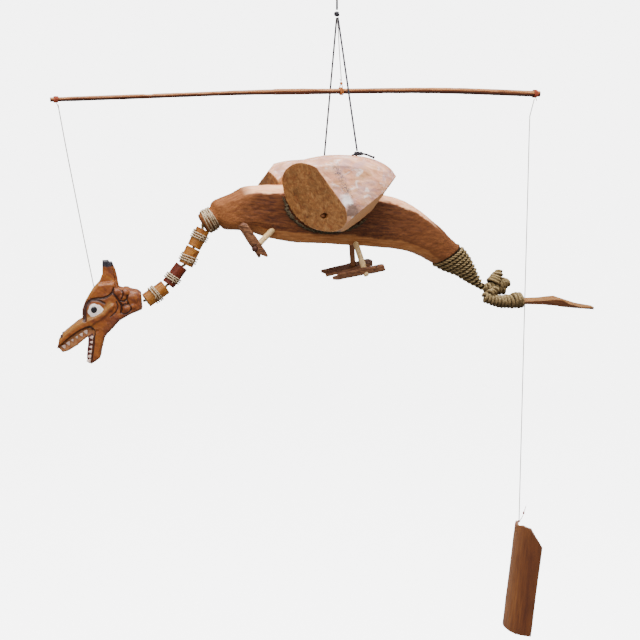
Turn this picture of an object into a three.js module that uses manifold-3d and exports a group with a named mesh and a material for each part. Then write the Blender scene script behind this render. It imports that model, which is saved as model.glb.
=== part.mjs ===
// Hanging dragon mobile: a carved dragon of palm stalk on two cords, with a balance stick
// above it that carries the head's string at one end and a wind paddle at the other.
// Millimetres, +Z up. The head points to -X, the tail to +X, the near side is -Y.
// The origin is the inside of the hanging eye's top, where a hook carries it.
import * as THREE from 'three';
import { mergeVertices } from 'three/addons/utils/BufferGeometryUtils.js';
import Module from 'manifold-3d';

const wasm = await Module();
wasm.setup();

// ---------------------------------------------------------------- driving sizes
const GAP = 0.35; // clearance between pieces that touch
const SLIVER = 0.03; // facets finer than this are merged after joining and cutting
const MAIN_CORD_R = 1.2;
const WING_CORD_R = 1.0;
const STRING_R = 0.55;
const KNOT_Z = -60; // top knot, where the three lines meet
const WING_SPREAD = 56; // half the distance between the wing cords' lower ends
const WING_KNOT_Z = { near: -207.1, far: -214.9 };
const STICK_LEFT_R = 2.4;
const STICK_RIGHT_R = 3.7;
const THREAD_R = 0.7;
const BODY_HALF_WIDTH = 23;
const RAFFIA_R = 1.0;
const NECK_CORD_R = 1.5;
const BEAD_BORE_R = 3.4;
const PEG_R = 3.2;
const FOOT = { width: 14, thick: 6.6, notch: 9 };
const HEAD_YAW = THREE.MathUtils.degToRad(-12);
const PADDLE = { outer: 33.5, wall: 4.5, from: 87, to: 195 };

// ---------------------------------------------------------------- materials
const material = (color, roughness, metalness = 0) =>
  new THREE.MeshStandardMaterial({ color, roughness, metalness });
const MATERIALS = {
  cord: material(0x2e2c30, 0.85),
  thread: material(0xb5a7a0, 0.8),
  redThread: material(0xb4553a, 0.8),
  stick: material(0x9a6a3c, 0.65),
  head: material(0xa85f22, 0.5),
  body: material(0x7a4424, 0.75),
  wing: material(0xc9a78c, 0.75),
  foot: material(0x8a5a3c, 0.75),
  peg: material(0xc8a878, 0.7),
  lightBead: material(0xc8975a, 0.55),
  darkBead: material(0x7c3f1c, 0.5),
  raffia: material(0xd8cdb4, 0.8),
  rope: material(0x9c8b68, 0.9),
  blade: material(0xc49468, 0.65),
  paddle: material(0x8d5730, 0.5),
};

const dragonMobile = new THREE.Group();
dragonMobile.name = 'dragon_mobile';

function addPiece(name, geometry, look) {
  const mesh = new THREE.Mesh(geometry, MATERIALS[look]);
  mesh.name = name;
  dragonMobile.add(mesh);
  return mesh;
}

// ---------------------------------------------------------------- shape helpers
const vec = (x, y, z) => new THREE.Vector3(x, y, z);
const lerp = THREE.MathUtils.lerp;
const deg = THREE.MathUtils.degToRad;
const profile2d = (points) => new THREE.Shape(points.map(([x, z]) => new THREE.Vector2(x, z)));

// One closed solid from a THREE geometry, ready to join and cut.
function solid(geometry) {
  const bare = geometry.index ? geometry.clone() : mergeVertices(geometry.clone());
  bare.deleteAttribute('normal');
  bare.deleteAttribute('uv');
  const merged = mergeVertices(bare, 1e-3);
  return new wasm.Manifold(
    new wasm.Mesh({
      numProp: 3,
      vertProperties: new Float32Array(merged.attributes.position.array),
      triVerts: new Uint32Array(merged.index.array),
    }),
  );
}

function geometryOf(manifold) {
  const mesh = manifold.asOriginal().simplify(SLIVER).getMesh();
  const geometry = new THREE.BufferGeometry();
  geometry.setAttribute('position', new THREE.BufferAttribute(mesh.vertProperties, 3));
  geometry.setIndex(new THREE.BufferAttribute(mesh.triVerts, 1));
  return geometry;
}

function join(geometries) {
  return geometryOf(geometries.map(solid).reduce((whole, next) => whole.add(next)));
}

function cut(geometry, cutters) {
  return geometryOf(cutters.map(solid).reduce((rest, tool) => rest.subtract(tool), solid(geometry)));
}

// A regular section swept along a curve; the cords and ropes are made with it.
function tube(points, radius, sides = 8, steps = points.length * 2) {
  const section = new THREE.Shape();
  for (let i = 0; i < sides; i += 1) {
    const angle = (i / sides) * 2 * Math.PI;
    section[i ? 'lineTo' : 'moveTo'](radius * Math.cos(angle), radius * Math.sin(angle));
  }
  section.closePath();
  const path = new THREE.CatmullRomCurve3(points, false, 'centripetal');
  return new THREE.ExtrudeGeometry(section, { steps, extrudePath: path, bevelEnabled: false });
}

// A skin over a row of closed rings of equal count, capped at both ends.
function loft(rings) {
  const count = rings[0].length;
  const position = [];
  const index = [];
  rings.flat().forEach((p) => position.push(p.x, p.y, p.z));
  for (let r = 0; r + 1 < rings.length; r += 1) {
    for (let i = 0; i < count; i += 1) {
      const a = r * count + i;
      const b = r * count + ((i + 1) % count);
      index.push(a, b, a + count, b, b + count, a + count);
    }
  }
  [0, rings.length - 1].forEach((r, end) => {
    const centre = rings[r].reduce((sum, p) => sum.add(p), vec(0, 0, 0)).divideScalar(count);
    position.push(centre.x, centre.y, centre.z);
    const hub = position.length / 3 - 1;
    for (let i = 0; i < count; i += 1) {
      const a = r * count + i;
      const b = r * count + ((i + 1) % count);
      index.push(...(end ? [a, b, hub] : [b, a, hub]));
    }
  });
  const geometry = new THREE.BufferGeometry();
  geometry.setAttribute('position', new THREE.Float32BufferAttribute(position, 3));
  geometry.setIndex(index);
  return outward(geometry);
}

// Turns the faces round where a solid came out inside out.
function outward(geometry) {
  const p = geometry.attributes.position;
  const index = geometry.index.array;
  const [a, b, c] = [vec(0, 0, 0), vec(0, 0, 0), vec(0, 0, 0)];
  let volume = 0;
  for (let i = 0; i < index.length; i += 3) {
    a.fromBufferAttribute(p, index[i]);
    b.fromBufferAttribute(p, index[i + 1]);
    c.fromBufferAttribute(p, index[i + 2]);
    volume += a.dot(b.cross(c));
  }
  if (volume < 0) {
    for (let i = 0; i < index.length; i += 3) {
      [index[i + 1], index[i + 2]] = [index[i + 2], index[i + 1]];
    }
  }
  return geometry;
}

// A ring round the line from a to b: profile points are [distance along, radius].
function turned(a, b, profile, segments = 10) {
  const outline = profile.map(([along, radius]) => new THREE.Vector2(radius, along));
  const geometry = new THREE.LatheGeometry(outline, segments);
  return placed(geometry, a, b.clone().sub(a));
}

// Stands a geometry's +Y axis on a direction, with its origin at a point.
function placed(geometry, origin, direction) {
  const turn = new THREE.Quaternion().setFromUnitVectors(vec(0, 1, 0), direction.clone().normalize());
  return geometry.applyQuaternion(turn).translate(origin.x, origin.y, origin.z);
}

function rod(a, b, radius, sides = 8) {
  const length = a.distanceTo(b);
  const geometry = new THREE.CylinderGeometry(radius, radius, length, sides).translate(0, length / 2, 0);
  return placed(geometry, a, b.clone().sub(a));
}

function ball(centre, rx, ry = rx, rz = rx, across = 7, down = 4) {
  return new THREE.SphereGeometry(1, across, down).scale(rx, ry, rz).translate(centre.x, centre.y, centre.z);
}

// Closed wavy profile of a winding: turns of one thread side by side over a round core.
function windingProfile(inner, threadR, turns) {
  const width = turns * threadR * 2;
  const profile = [[-width / 2, inner]];
  for (let i = 0; i < turns; i += 1) {
    const start = -width / 2 + i * threadR * 2;
    profile.push([start + threadR * 0.1, inner + threadR * 0.9]);
    profile.push([start + threadR, inner + threadR * 2]);
  }
  profile.push([width / 2 - threadR * 0.1, inner + threadR * 0.9]);
  profile.push([width / 2, inner], [-width / 2, inner]);
  return profile;
}

function winding(centre, axis, inner, threadR, turns, segments = 9) {
  return turned(centre, centre.clone().add(axis), windingProfile(inner, threadR, turns), segments);
}

// ---------------------------------------------------------------- suspension
const knotTop = vec(0, 0, KNOT_Z);
const eyeKnot = vec(0, 0, -20.5);

function hangingEye() {
  const top = MAIN_CORD_R; // the cord's middle, so that its inside is at the origin
  const eye = tube(
    [
      vec(-1.4, 0, -19.5),
      vec(-4.4, 0, -12.5),
      vec(-5, 0, -4.5),
      vec(0, 0, top),
      vec(5, 0, -4.5),
      vec(4.4, 0, -12.5),
      vec(1.4, 0, -19.5),
    ],
    MAIN_CORD_R,
    6,
    12,
  );
  return join([eye, ball(eyeKnot, 3.6, 3.2, 4)]);
}

function topKnot() {
  const upper = ball(knotTop.clone().add(vec(0.2, 0, 1.6)), 3, 2.8, 2.4);
  const lower = ball(knotTop.clone().add(vec(-0.2, 0, -1.4)), 3.2, 3.4, 2.2);
  return join([upper, lower]);
}

// Knot with melted tails on a wing's top edge; side is -1 near, +1 far.
const cordFoot = (side) => vec(4, side * WING_SPREAD, side < 0 ? WING_KNOT_Z.near : WING_KNOT_Z.far);

function wingKnot(side) {
  const c = cordFoot(side);
  const at = (x, y, z) => c.clone().add(vec(x, side * y, z));
  const lumps = [
    ball(at(0, 0, -1.8), 2.6, 2.6, 2.2),
    ball(at(2.8, 0.8, -1.6), 2.4, 2.2, 1.9),
    ball(at(-2.2, 0.6, -2.4), 1.8, 1.8, 1.5, 6),
  ];
  const shortTail = tube([at(-1, 0, -2), at(-4, 0.8, -2.8), at(-6.8, 1.2, -3.4)], 0.9, 5, 2);
  const longTail = tube([at(3, 0.8, -1.8), at(9, 2.4, -2.4), at(15, 3.6, -4.6), at(19, 4.4, -6)], 0.95, 5, 3);
  return join([...lumps, shortTail, longTail, ball(at(18.6, 4.3, -5.8), 1.9, 1.6, 1.4, 6)]);
}

addPiece('hanging_eye', hangingEye(), 'cord');
addPiece('hanging_cord', tube([vec(0, 0, -24.9), vec(0, 0, -40), vec(0, 0, -55.6)], MAIN_CORD_R, 8, 3), 'cord');
addPiece('top_knot', topKnot(), 'cord');
for (const [label, side] of [['near', -1], ['far', 1]]) {
  const start = vec(0.4, side * 2.2, KNOT_Z - 3.9);
  const end = cordFoot(side).add(vec(0, -side * 0.3, 0.8));
  const route = [0, 0.25, 0.5, 0.75, 1].map((t) => start.clone().lerp(end, t));
  addPiece(`${label}_wing_cord`, tube(route, WING_CORD_R, 8, 8), 'cord');
  addPiece(`${label}_wing_cord_knot`, wingKnot(side), 'cord');
}

// ---------------------------------------------------------------- balance stick
const stickPath = new THREE.CatmullRomCurve3([
  vec(-310, 0, -153.4),
  vec(-220, 0, -149.8),
  vec(-88, 0, -144.4),
  vec(5, 0, -142.6),
  vec(121, 0, -141),
  vec(248, 0, -143.8),
]);
const STICK_RINGS = 18;
const STICK_SIDES = 8;
const stickRadius = (t) => lerp(STICK_LEFT_R, STICK_RIGHT_R, t) * (1 + 0.04 * Math.sin(17 * t));

function balanceStick() {
  const rings = [];
  for (let r = 0; r <= STICK_RINGS; r += 1) {
    const t = r / STICK_RINGS;
    const centre = stickPath.getPointAt(t);
    const along = stickPath.getTangentAt(t);
    const up = vec(-along.z, 0, along.x);
    const ring = [];
    for (let i = 0; i < STICK_SIDES; i += 1) {
      const angle = (i / STICK_SIDES) * 2 * Math.PI;
      const offset = up.clone().multiplyScalar(Math.cos(angle)).add(vec(0, Math.sin(angle), 0));
      ring.push(centre.clone().addScaledVector(offset, stickRadius(t)));
    }
    rings.push(ring);
  }
  return loft(rings);
}

function stickWinding(t, turns) {
  const centre = stickPath.getPointAt(t);
  return winding(centre, stickPath.getTangentAt(t), stickRadius(t) * 1.06 + GAP, THREAD_R, turns, 8);
}

const stickMid = stickPath.getPointAt(0.565);
const stringKnot = vec(stickMid.x, 0, stickMid.z + 8.6);

function midWrap() {
  const ring = stickWinding(0.565, 3);
  const foot = (dx) => stickMid.clone().add(vec(dx, 0, 4.2));
  const apex = stringKnot.clone().add(vec(0, 0, -3));
  return join([ring, tube([foot(-1.7), apex, foot(1.7)], 0.6, 6, 4)]);
}

addPiece('balance_stick', balanceStick(), 'stick');
addPiece('stick_left_wrap', stickWinding(0.01, 4), 'redThread');
addPiece('stick_right_wrap', stickWinding(0.99, 4), 'redThread');
addPiece('stick_mid_wrap', midWrap(), 'redThread');
addPiece(
  'stick_string',
  tube([vec(0.4, 0, KNOT_Z - 4), vec(1.6, 0, -80), vec(3.6, 0, -110), stringKnot.clone().add(vec(0, 0, 2.4))], STRING_R, 8, 8),
  'thread',
);
addPiece('stick_string_knot', ball(stringKnot, 1.9, 1.7, 1.9), 'redThread');

// ---------------------------------------------------------------- strings at the stick's ends
const headTie = vec(-269.7, 9, -349);
const headRoute = [
  vec(-302, 0, -158.4),
  vec(-294.6, 2, -205),
  vec(-286.6, 4.2, -252),
  vec(-278.4, 6.6, -300),
  headTie,
];
addPiece('head_string', tube(headRoute, STRING_R, 8, 10), 'thread');

const paddleTie = vec(236, 0, -654.9);
const paddleRoute = [
  vec(241.5, 0, -149.8),
  vec(238.4, 0, -152.5),
  vec(236.8, 0, -157),
  vec(236.3, 0, -170),
  vec(236.2, 0, -260),
  vec(236, 0, -400),
  vec(236, 0, -540),
  paddleTie,
];
addPiece('paddle_string', tube(paddleRoute, STRING_R, 8, 20), 'thread');

// ---------------------------------------------------------------- wind paddle
// A third of a thick bamboo pipe; its angles run anticlockwise from the viewer's right.
// PADDLE_FACE is its outline seen square on: x across the pipe, z from the hanging hole.
const PADDLE_TURN = deg(-27);
const PADDLE_LEAN = deg(5.4);
const HOLE_ANGLE = deg(-160);
const PADDLE_FACE = [[-35, 7.5], [-31, 9], [-27, 12], [-16, 12], [1.2, -7.3], [4, -121.8], [-19, -123.6], [-35, -123]];

function windPaddle() {
  const { outer, wall, from, to } = PADDLE;
  const sector = new THREE.Shape();
  sector.absarc(0, 0, outer, deg(-to), deg(-from), false);
  sector.absarc(0, 0, outer - wall, deg(-from), deg(-to), true);
  sector.closePath();
  const pipe = new THREE.ExtrudeGeometry(sector, { depth: 160, bevelEnabled: false, curveSegments: 10 });
  pipe.translate(0, 0, -130);
  const face = new THREE.ExtrudeGeometry(profile2d(PADDLE_FACE), { depth: 80, bevelEnabled: false });
  face.rotateX(Math.PI / 2).translate(0, 40, 0);
  const holeDirection = vec(Math.cos(HOLE_ANGLE), Math.sin(HOLE_ANGLE), 0);
  const holeAt = holeDirection.clone().multiplyScalar(outer);
  const inside = holeDirection.clone().multiplyScalar(outer - wall - 6);
  const bore = rod(inside, holeAt.clone().addScaledVector(holeDirection, 6), 1.6);
  const geometry = geometryOf(solid(pipe).intersect(solid(face)).subtract(solid(bore)));
  geometry.translate(-holeAt.x, -holeAt.y, 0);
  geometry.rotateY(PADDLE_LEAN).rotateZ(PADDLE_TURN);
  return geometry.translate(232, 0.5, -670.5);
}

// A knot over the paddle's top corner, with a thread down to the hole and a waxed tail.
function paddleKnot() {
  const at = (x, y, z) => paddleTie.clone().add(vec(x, y, z));
  const route = [at(-0.9, 0, -1.9), at(-4.1, 0.1, -4.7), at(-5.1, 0.4, -9.6), at(-5.5, 0.6, -14.4)];
  const thread = tube(route, 0.45, 5, 4);
  const tail = tube([at(0.6, -0.8, -1.6), at(3.4, -1.3, 3), at(5.6, -1, 8.4), at(8.8, -0.6, 17)], 0.45, 5, 3);
  return join([ball(at(0, 0, -1.9), 1.5), thread, tail, ball(at(5.5, -1, 8.2), 1, 1, 2, 6)]);
}

addPiece('wind_paddle', windPaddle(), 'paddle');
addPiece('paddle_knot', paddleKnot(), 'redThread');

// ---------------------------------------------------------------- body
// Each rib is a cross section: its top and bottom in the middle plane, its half width,
// and how far it is from the carved stalk section (0) to a round one (1).
const neckSeat = { centre: vec(-144.8, 0, -280.5), axis: vec(-0.87, 0, -0.49).normalize(), radius: 10.8 };

function neckRib(along) {
  const centre = neckSeat.centre.clone().addScaledVector(neckSeat.axis, along);
  const up = vec(neckSeat.axis.z, 0, -neckSeat.axis.x).multiplyScalar(neckSeat.radius);
  return { top: centre.clone().add(up), bottom: centre.clone().sub(up), half: neckSeat.radius, round: 1 };
}

const carvedRib = (xTop, zTop, xBottom, zBottom, half, round = 0) => ({
  top: vec(xTop, 0, zTop),
  bottom: vec(xBottom, 0, zBottom),
  half,
  round,
});

const tailRib = carvedRib(148, -317, 117.5, -336, 15, 0.6);
const BODY_RIBS = [
  neckRib(7.5),
  neckRib(-6.8),
  carvedRib(-141, -261.5, -129, -290, 14, 0.7),
  carvedRib(-131, -256.5, -122, -291, 17.5, 0.35),
  carvedRib(-118, -251.5, -113, -291.5, 20, 0.1),
  carvedRib(-105, -245.5, -100, -293.5, 21.5),
  carvedRib(-86, -244.4, -84, -299.5, 22.6),
  carvedRib(-60, -244.6, -60, -305, BODY_HALF_WIDTH),
  carvedRib(-20, -245.6, -20, -309, BODY_HALF_WIDTH),
  carvedRib(20, -249, 20, -312, BODY_HALF_WIDTH),
  carvedRib(52, -256, 50, -315, BODY_HALF_WIDTH),
  carvedRib(78, -264, 71, -318, 22.2),
  carvedRib(100, -277, 88, -322, 20.5),
  carvedRib(120, -292.5, 101, -327, 18.5, 0.2),
  carvedRib(135, -306, 110, -332, 16.5, 0.4),
  tailRib,
];

// Half of the stalk's section as [across, height]: crowned back, sharp shoulder,
// straight flank, bevel cut towards a narrow belly.
const HALF_SECTION = [
  [0, 1],
  [0.42, 0.97],
  [0.8, 0.84],
  [0.96, 0.68],
  [1, 0.3],
  [1, -0.5],
  [0.93, -0.68],
  [0.62, -0.96],
  [0.25, -1],
];
const SECTION = [
  ...HALF_SECTION,
  ...HALF_SECTION.slice(1)
    .reverse()
    .map(([across, height]) => [-across, height]),
];

function ribRing({ top, bottom, half, round }) {
  const centre = top.clone().add(bottom).multiplyScalar(0.5);
  const up = top.clone().sub(centre);
  return SECTION.map(([across, height]) => {
    const size = Math.hypot(across, height);
    const y = lerp(across, across / size, round);
    const z = lerp(height, height / size, round);
    return centre.clone().addScaledVector(up, z).add(vec(0, y * half, 0));
  });
}

// ---------------------------------------------------------------- legs
// A leg is a peg in the body with a split foot across its outer end.
const LEGS = [
  {
    name: 'front_near',
    hip: vec(-80, -19.5, -291.5),
    end: vec(-108, -45.5, -309.5),
    toes: vec(0.6, 0.03, -0.8),
    length: 46,
    shift: -7.5,
  },
  {
    name: 'front_far',
    hip: vec(-92, 20.5, -276),
    end: vec(-98, 47, -278),
    toes: vec(-0.95, -0.1, -0.3),
    length: 47,
    shift: 3,
  },
  {
    name: 'rear_near',
    hip: vec(17.5, -15, -309),
    end: vec(23.4, -34.5, -343.5),
    toes: vec(-0.985, -0.06, -0.15),
    length: 62,
    shift: 7,
  },
  {
    name: 'rear_far',
    hip: vec(23, 15, -309),
    end: vec(32, 33.5, -346),
    toes: vec(-0.985, 0.04, -0.15),
    length: 62,
    shift: 7,
  },
];
const PEG_NUB = 2;
const PEG_DEPTH = 7;

function legFrame({ hip, end, toes }) {
  const out = end.clone().sub(hip).normalize();
  const along = toes.clone().addScaledVector(out, -toes.dot(out)).normalize();
  return { out, along, across: vec(0, 0, 0).crossVectors(out, along) };
}

// The foot in its own frame: x to the toes, y across, z outward along the peg.
function footBlank(length) {
  const { width, thick, notch } = FOOT;
  const half = width / 2;
  const section = new THREE.Shape();
  section.moveTo(-half + 1.5, 0);
  section.lineTo(half - 1.5, 0);
  section.lineTo(half, thick * 0.35);
  section.lineTo(2, thick);
  section.lineTo(-2, thick);
  section.lineTo(-half, thick * 0.35);
  section.closePath();
  const bar = new THREE.ExtrudeGeometry(section, { depth: length, bevelEnabled: false });
  bar.applyMatrix4(new THREE.Matrix4().makeBasis(vec(0, 1, 0), vec(0, 0, 1), vec(1, 0, 0)));
  bar.translate(-length / 2, 0, 0);
  const plan = new THREE.Shape();
  plan.moveTo(length / 2, half * 0.75);
  plan.lineTo(length / 2 - notch, 0.6);
  plan.lineTo(length / 2 - notch, -0.6);
  plan.lineTo(length / 2 - 3, -half * 0.6);
  plan.lineTo(length / 2 - 4, -half * 0.85);
  plan.lineTo(length * 0.1, -half - 0.1);
  plan.lineTo(-length / 2 + 6, -half * 0.82);
  plan.absarc(-length / 2 + 6, 0, 5.6, deg(-90), deg(-270), true);
  plan.lineTo(length * 0.1, half + 0.1);
  plan.closePath();
  const trim = new THREE.ExtrudeGeometry(plan, { depth: thick + 2, bevelEnabled: false, curveSegments: 4 });
  trim.translate(0, 0, -1);
  return solid(bar).intersect(solid(trim));
}

function foot(leg) {
  const { out, along, across } = legFrame(leg);
  const seat = leg.end.clone().addScaledVector(out, -PEG_NUB - FOOT.thick);
  const place = new THREE.Matrix4().makeBasis(along, across, out);
  place.setPosition(seat.clone().addScaledVector(along, leg.shift));
  const geometry = geometryOf(footBlank(leg.length)).applyMatrix4(place);
  const bore = rod(seat.clone().addScaledVector(out, -4), leg.end.clone().addScaledVector(out, 4), PEG_R + GAP);
  return cut(geometry, [bore]);
}

function pegLine(leg) {
  const { out } = legFrame(leg);
  return [leg.hip.clone().addScaledVector(out, -PEG_DEPTH), leg.end.clone()];
}

// ---------------------------------------------------------------- wings
// Each wing is a rounded chunk of thick stalk: a dome on the flank, with a broad oval cut
// facing forward and outward, and the next cuts below its trailing edge. The near wing's
// skin is also pared flat beside the oval. The dowel in its hole stops short of the face.
const WING_POWER = 2.4;
const WING_SWEEP = 0.26;
const WINGS = {
  near: {
    side: -1,
    centre: vec(-15, 49.5, -251.5),
    size: vec(70, 37, 41),
    pinEnd: 56.3,
    cuts: [
      { normal: vec(-0.745, 0.535, -0.4), distance: 166.5 },
      { normal: vec(0.571, 0.375, -0.731), distance: 227.4 },
      { normal: vec(0.757, 0.324, -0.567), distance: 187.7 },
      { normal: vec(-0.041, 0.981, 0.186), distance: 35.7 },
    ],
  },
  far: {
    side: 1,
    centre: vec(-17, 49.5, -259),
    size: vec(68, 37, 41),
    pinEnd: 80,
    cuts: [
      { normal: vec(-0.926, -0.195, -0.325), distance: 130 },
      { normal: vec(-0.752, 0.232, 0.617), distance: -82 },
      { normal: vec(0.628, 0.091, -0.773), distance: 225.3 },
    ],
  },
};
const wingPinAt = vec(-33.3, 0, -274.5);
const PIN_R = 2.6;

function wingDome(centre, size) {
  const geometry = new THREE.SphereGeometry(1, 18, 12);
  const p = geometry.attributes.position;
  for (let i = 0; i < p.count; i += 1) {
    const q = vec(p.getX(i), p.getY(i), p.getZ(i));
    const norm = ['x', 'y', 'z'].reduce((sum, k) => sum + Math.abs(q[k]) ** WING_POWER, 0) ** (1 / WING_POWER);
    q.divideScalar(norm).multiply(size);
    p.setXYZ(i, centre.x + q.x - WING_SWEEP * q.y, centre.y + q.y, centre.z + q.z);
  }
  return geometry;
}

// A large block whose one face is the plane normal . x = distance, outside it.
function beyond({ normal, distance }) {
  const unit = normal.clone().normalize();
  const size = 1400;
  const block = new THREE.BoxGeometry(size, size, size).translate(0, size / 2, 0);
  return placed(block, unit.clone().multiplyScalar(distance), unit);
}

// Worked out on the far side and mirrored for the near one.
function wing({ side, centre, size, cuts }) {
  const flank = { normal: vec(0, -1, 0), distance: -(BODY_HALF_WIDTH + GAP) };
  const pinHole = rod(vec(wingPinAt.x, 15, wingPinAt.z), vec(wingPinAt.x, 120, wingPinAt.z), PIN_R + GAP);
  const far = cut(wingDome(centre, size), [...[...cuts, flank].map(beyond), pinHole]);
  return side > 0 ? far : outward(far.applyMatrix4(new THREE.Matrix4().makeScale(1, -1, 1)));
}

const wingPin = ({ side, pinEnd }) => [
  vec(wingPinAt.x, side * 12, wingPinAt.z),
  vec(wingPinAt.x, side * pinEnd, wingPinAt.z),
];

for (const [label, shape] of Object.entries(WINGS)) {
  addPiece(`${label}_wing`, wing(shape), 'wing');
  addPiece(`${label}_wing_pin`, rod(...wingPin(shape), PIN_R), 'peg');
}
for (const leg of LEGS) {
  addPiece(`${leg.name}_peg`, rod(...pegLine(leg), PEG_R), 'peg');
  addPiece(`${leg.name}_foot`, foot(leg), 'foot');
}
const bodyHoles = [
  ...LEGS.map((leg) => {
    const [inside, outside] = pegLine(leg);
    const { out } = legFrame(leg);
    return rod(inside.addScaledVector(out, -GAP), outside, PEG_R + GAP);
  }),
  ...Object.values(WINGS).map((shape) => {
    const [inside, outside] = wingPin(shape);
    return rod(inside.add(vec(0, -shape.side * GAP, 0)), outside, PIN_R + GAP);
  }),
];
addPiece('body', cut(loft(BODY_RIBS.map(ribRing)), bodyHoles), 'body');

// ---------------------------------------------------------------- neck
const NECK_BEADS = [
  { from: vec(-215.6, 0, -365.2), to: vec(-194.4, 0, -351.4), radius: 8.2, wrapAt: 0.48, look: 'lightBead' },
  { from: vec(-191.4, 0, -348.8), to: vec(-176.1, 0, -329.4), radius: 7.4, wrapAt: 0.33, look: 'darkBead' },
  { from: vec(-172, 0, -328.2), to: vec(-163, 0, -310.2), radius: 8.2, wrapAt: 0.36, look: 'lightBead' },
  { from: vec(-162.6, 0, -309.4), to: vec(-151.8, 0, -290.6), radius: 7.8, wrapAt: 0.62, look: 'lightBead' },
];
const BEAD_EDGE = 0.8;

NECK_BEADS.forEach(({ from, to, radius, wrapAt, look }, i) => {
  const length = from.distanceTo(to);
  const profile = [
    [0, BEAD_BORE_R],
    [0, radius - BEAD_EDGE],
    [BEAD_EDGE, radius],
    [length - BEAD_EDGE, radius],
    [length, radius - BEAD_EDGE],
    [length, BEAD_BORE_R],
    [0, BEAD_BORE_R],
  ];
  addPiece(`neck_bead_${i + 1}`, turned(from, to, profile, 9), look);
  const middle = from.clone().lerp(to, wrapAt);
  addPiece(`neck_wrap_${i + 1}`, winding(middle, to.clone().sub(from), radius + GAP, RAFFIA_R, 3, 9), 'raffia');
});
addPiece('neck_end_wrap', winding(neckSeat.centre, neckSeat.axis, neckSeat.radius * 1.03 + GAP, RAFFIA_R, 5, 11), 'raffia');

// ---------------------------------------------------------------- head
// Carved from one block. Profiles are in the head's own frame: x back, z up, mm from the
// eye's back corner; each layer is as wide as the stock left at that depth of carving.
const headOrigin = vec(-264, 9.5, -380.2);
const HEAD_TRIM = 0.8; // taken off each layer's outline, which the block's width makes good

function slab(points, halfWidth, bevel = 1) {
  const geometry = new THREE.ExtrudeGeometry(profile2d(points), {
    depth: 2 * (halfWidth - bevel),
    bevelEnabled: bevel > 0,
    bevelThickness: bevel,
    bevelSize: bevel,
    bevelOffset: -bevel - HEAD_TRIM,
    bevelSegments: 1,
  });
  geometry.translate(0, 0, -(halfWidth - bevel));
  return geometry.rotateX(Math.PI / 2);
}

const HEAD_LAYERS = {
  // brow, horn root and skull down to the cheek
  skull: [[-1, 36], [-7, 29.5], [-14.3, 18], [-18, 8.5], [-18.3, -2], [-12, -14], [4, -18], [10, -17.5],
    [22, -5], [34, 1.8], [45.7, 6.4], [44.5, 23.5], [40.7, 26.7], [19.4, 30.4], [17.7, 37.7]],
  horn: [[-6, 24], [3.5, 45], [3.8, 60.4], [11, 60.4], [14.6, 52], [19, 30], [10, 20]],
  // upper jaw and cheekbone, one sweep from the nose to behind the eye
  jawBand: [[-18, -2.5], [-25, -6.4], [-37.4, -16], [-42.7, -21.9], [-45.2, -34.1], [-41.5, -31.6], [-30, -21.9],
    [-18.5, -14.5], [-6.9, -10.3], [5.5, -2], [16.5, 7.5], [18.4, 11.6], [16, 15.4], [11.8, 14.6], [2.9, 6.8],
    [-6.9, 1]],
  // roof of the mouth inside the lips
  palate: [[-22, -8], [-40, -24], [-44, -33.5], [-39.8, -38.9], [-33.3, -37.3], [-23.3, -30.9], [-12.7, -22.4],
    [-4, -19], [-4, -10]],
  lowerJaw: [[-6.5, -16], [-10.6, -52], [0.4, -44.8], [1.3, -38.2], [3.8, -29.1], [5.4, -23.5],
    [10.5, -16], [6, -8]],
  tongueSide: [[-8, -18], [-12.5, -21], [-15, -43.7], [-13.5, -50.6], [-9, -50], [-4, -20]],
};
const HEAD_WIDTHS = { skull: 14, horn: 3.6, jawBand: 16, palate: 10, lowerJaw: 14, tongueSide: 10.5 };
const EYE = { x: -4, z: 8.4, length: 9.2, height: 6.8 };
const SCALES = [[22, 22, 6.5], [22, 11, 7.5], [32, 19, 7], [33, 9, 6]];

function tooth(x, z, dx, dz, y, size) {
  const geometry = new THREE.ConeGeometry(size * 0.55, size, 3);
  placed(geometry, vec(x + dx * size * 0.3, y, z + dz * size * 0.3), vec(dx, 0, dz));
  return geometry;
}

function headCarving() {
  const { horn, ...layers } = HEAD_LAYERS;
  const parts = Object.entries(layers).map(([layer, points]) => slab(points, HEAD_WIDTHS[layer]));
  for (const side of [-1, 1]) {
    const back = side > 0 ? 3.2 : 0;
    parts.push(slab(horn, HEAD_WIDTHS.horn).translate(back, side * 4.6, -back * 0.8));
    parts.push(ball(vec(EYE.x, side * 13.2, EYE.z), EYE.length, 3, EYE.height, 10, 4));
    parts.push(rod(vec(EYE.x, side * 14, EYE.z), vec(EYE.x, side * 16.6, EYE.z), 3));
    for (let i = 0; i < 5; i += 1) {
      const t = i / 4;
      parts.push(tooth(lerp(-36.5, -14, t), lerp(-31, -15.5, t), 0.5, -0.86, side * 10.6, 4.6));
      parts.push(tooth(lerp(-9, -12, t), lerp(-24, -46, t), -1, 0.1, side * 11, 3.6));
    }
    for (const [x, z, size] of SCALES) {
      parts.push(ball(vec(x, side * 13, z), size, 3, size * 0.8, 7, 4));
    }
  }
  const lid = [vec(-18, 0, -2), vec(-14.4, 0, 8), vec(-9, 0, 16), vec(-2, 0, 18.4), vec(7, 0, 19.6), vec(13, 0, 25)];
  const grooves = [-1, 1].map((side) => tube(lid, 1.2, 4, 7).translate(0, side * 14, 0));
  return cut(join(parts), grooves)
    .rotateZ(HEAD_YAW)
    .translate(headOrigin.x, headOrigin.y, headOrigin.z);
}

addPiece('head', headCarving(), 'head');

const neckRoute = [
  vec(46.4, 0, 14.6).applyAxisAngle(vec(0, 0, 1), HEAD_YAW).add(headOrigin),
  ...NECK_BEADS.flatMap(({ from, to }) => [from.clone().lerp(to, 0.1), to.clone().lerp(from, 0.1)]),
  neckSeat.centre.clone().addScaledVector(neckSeat.axis, 9.2),
];
addPiece('neck_cord', tube(neckRoute, NECK_CORD_R, 8, 14), 'rope');

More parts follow.
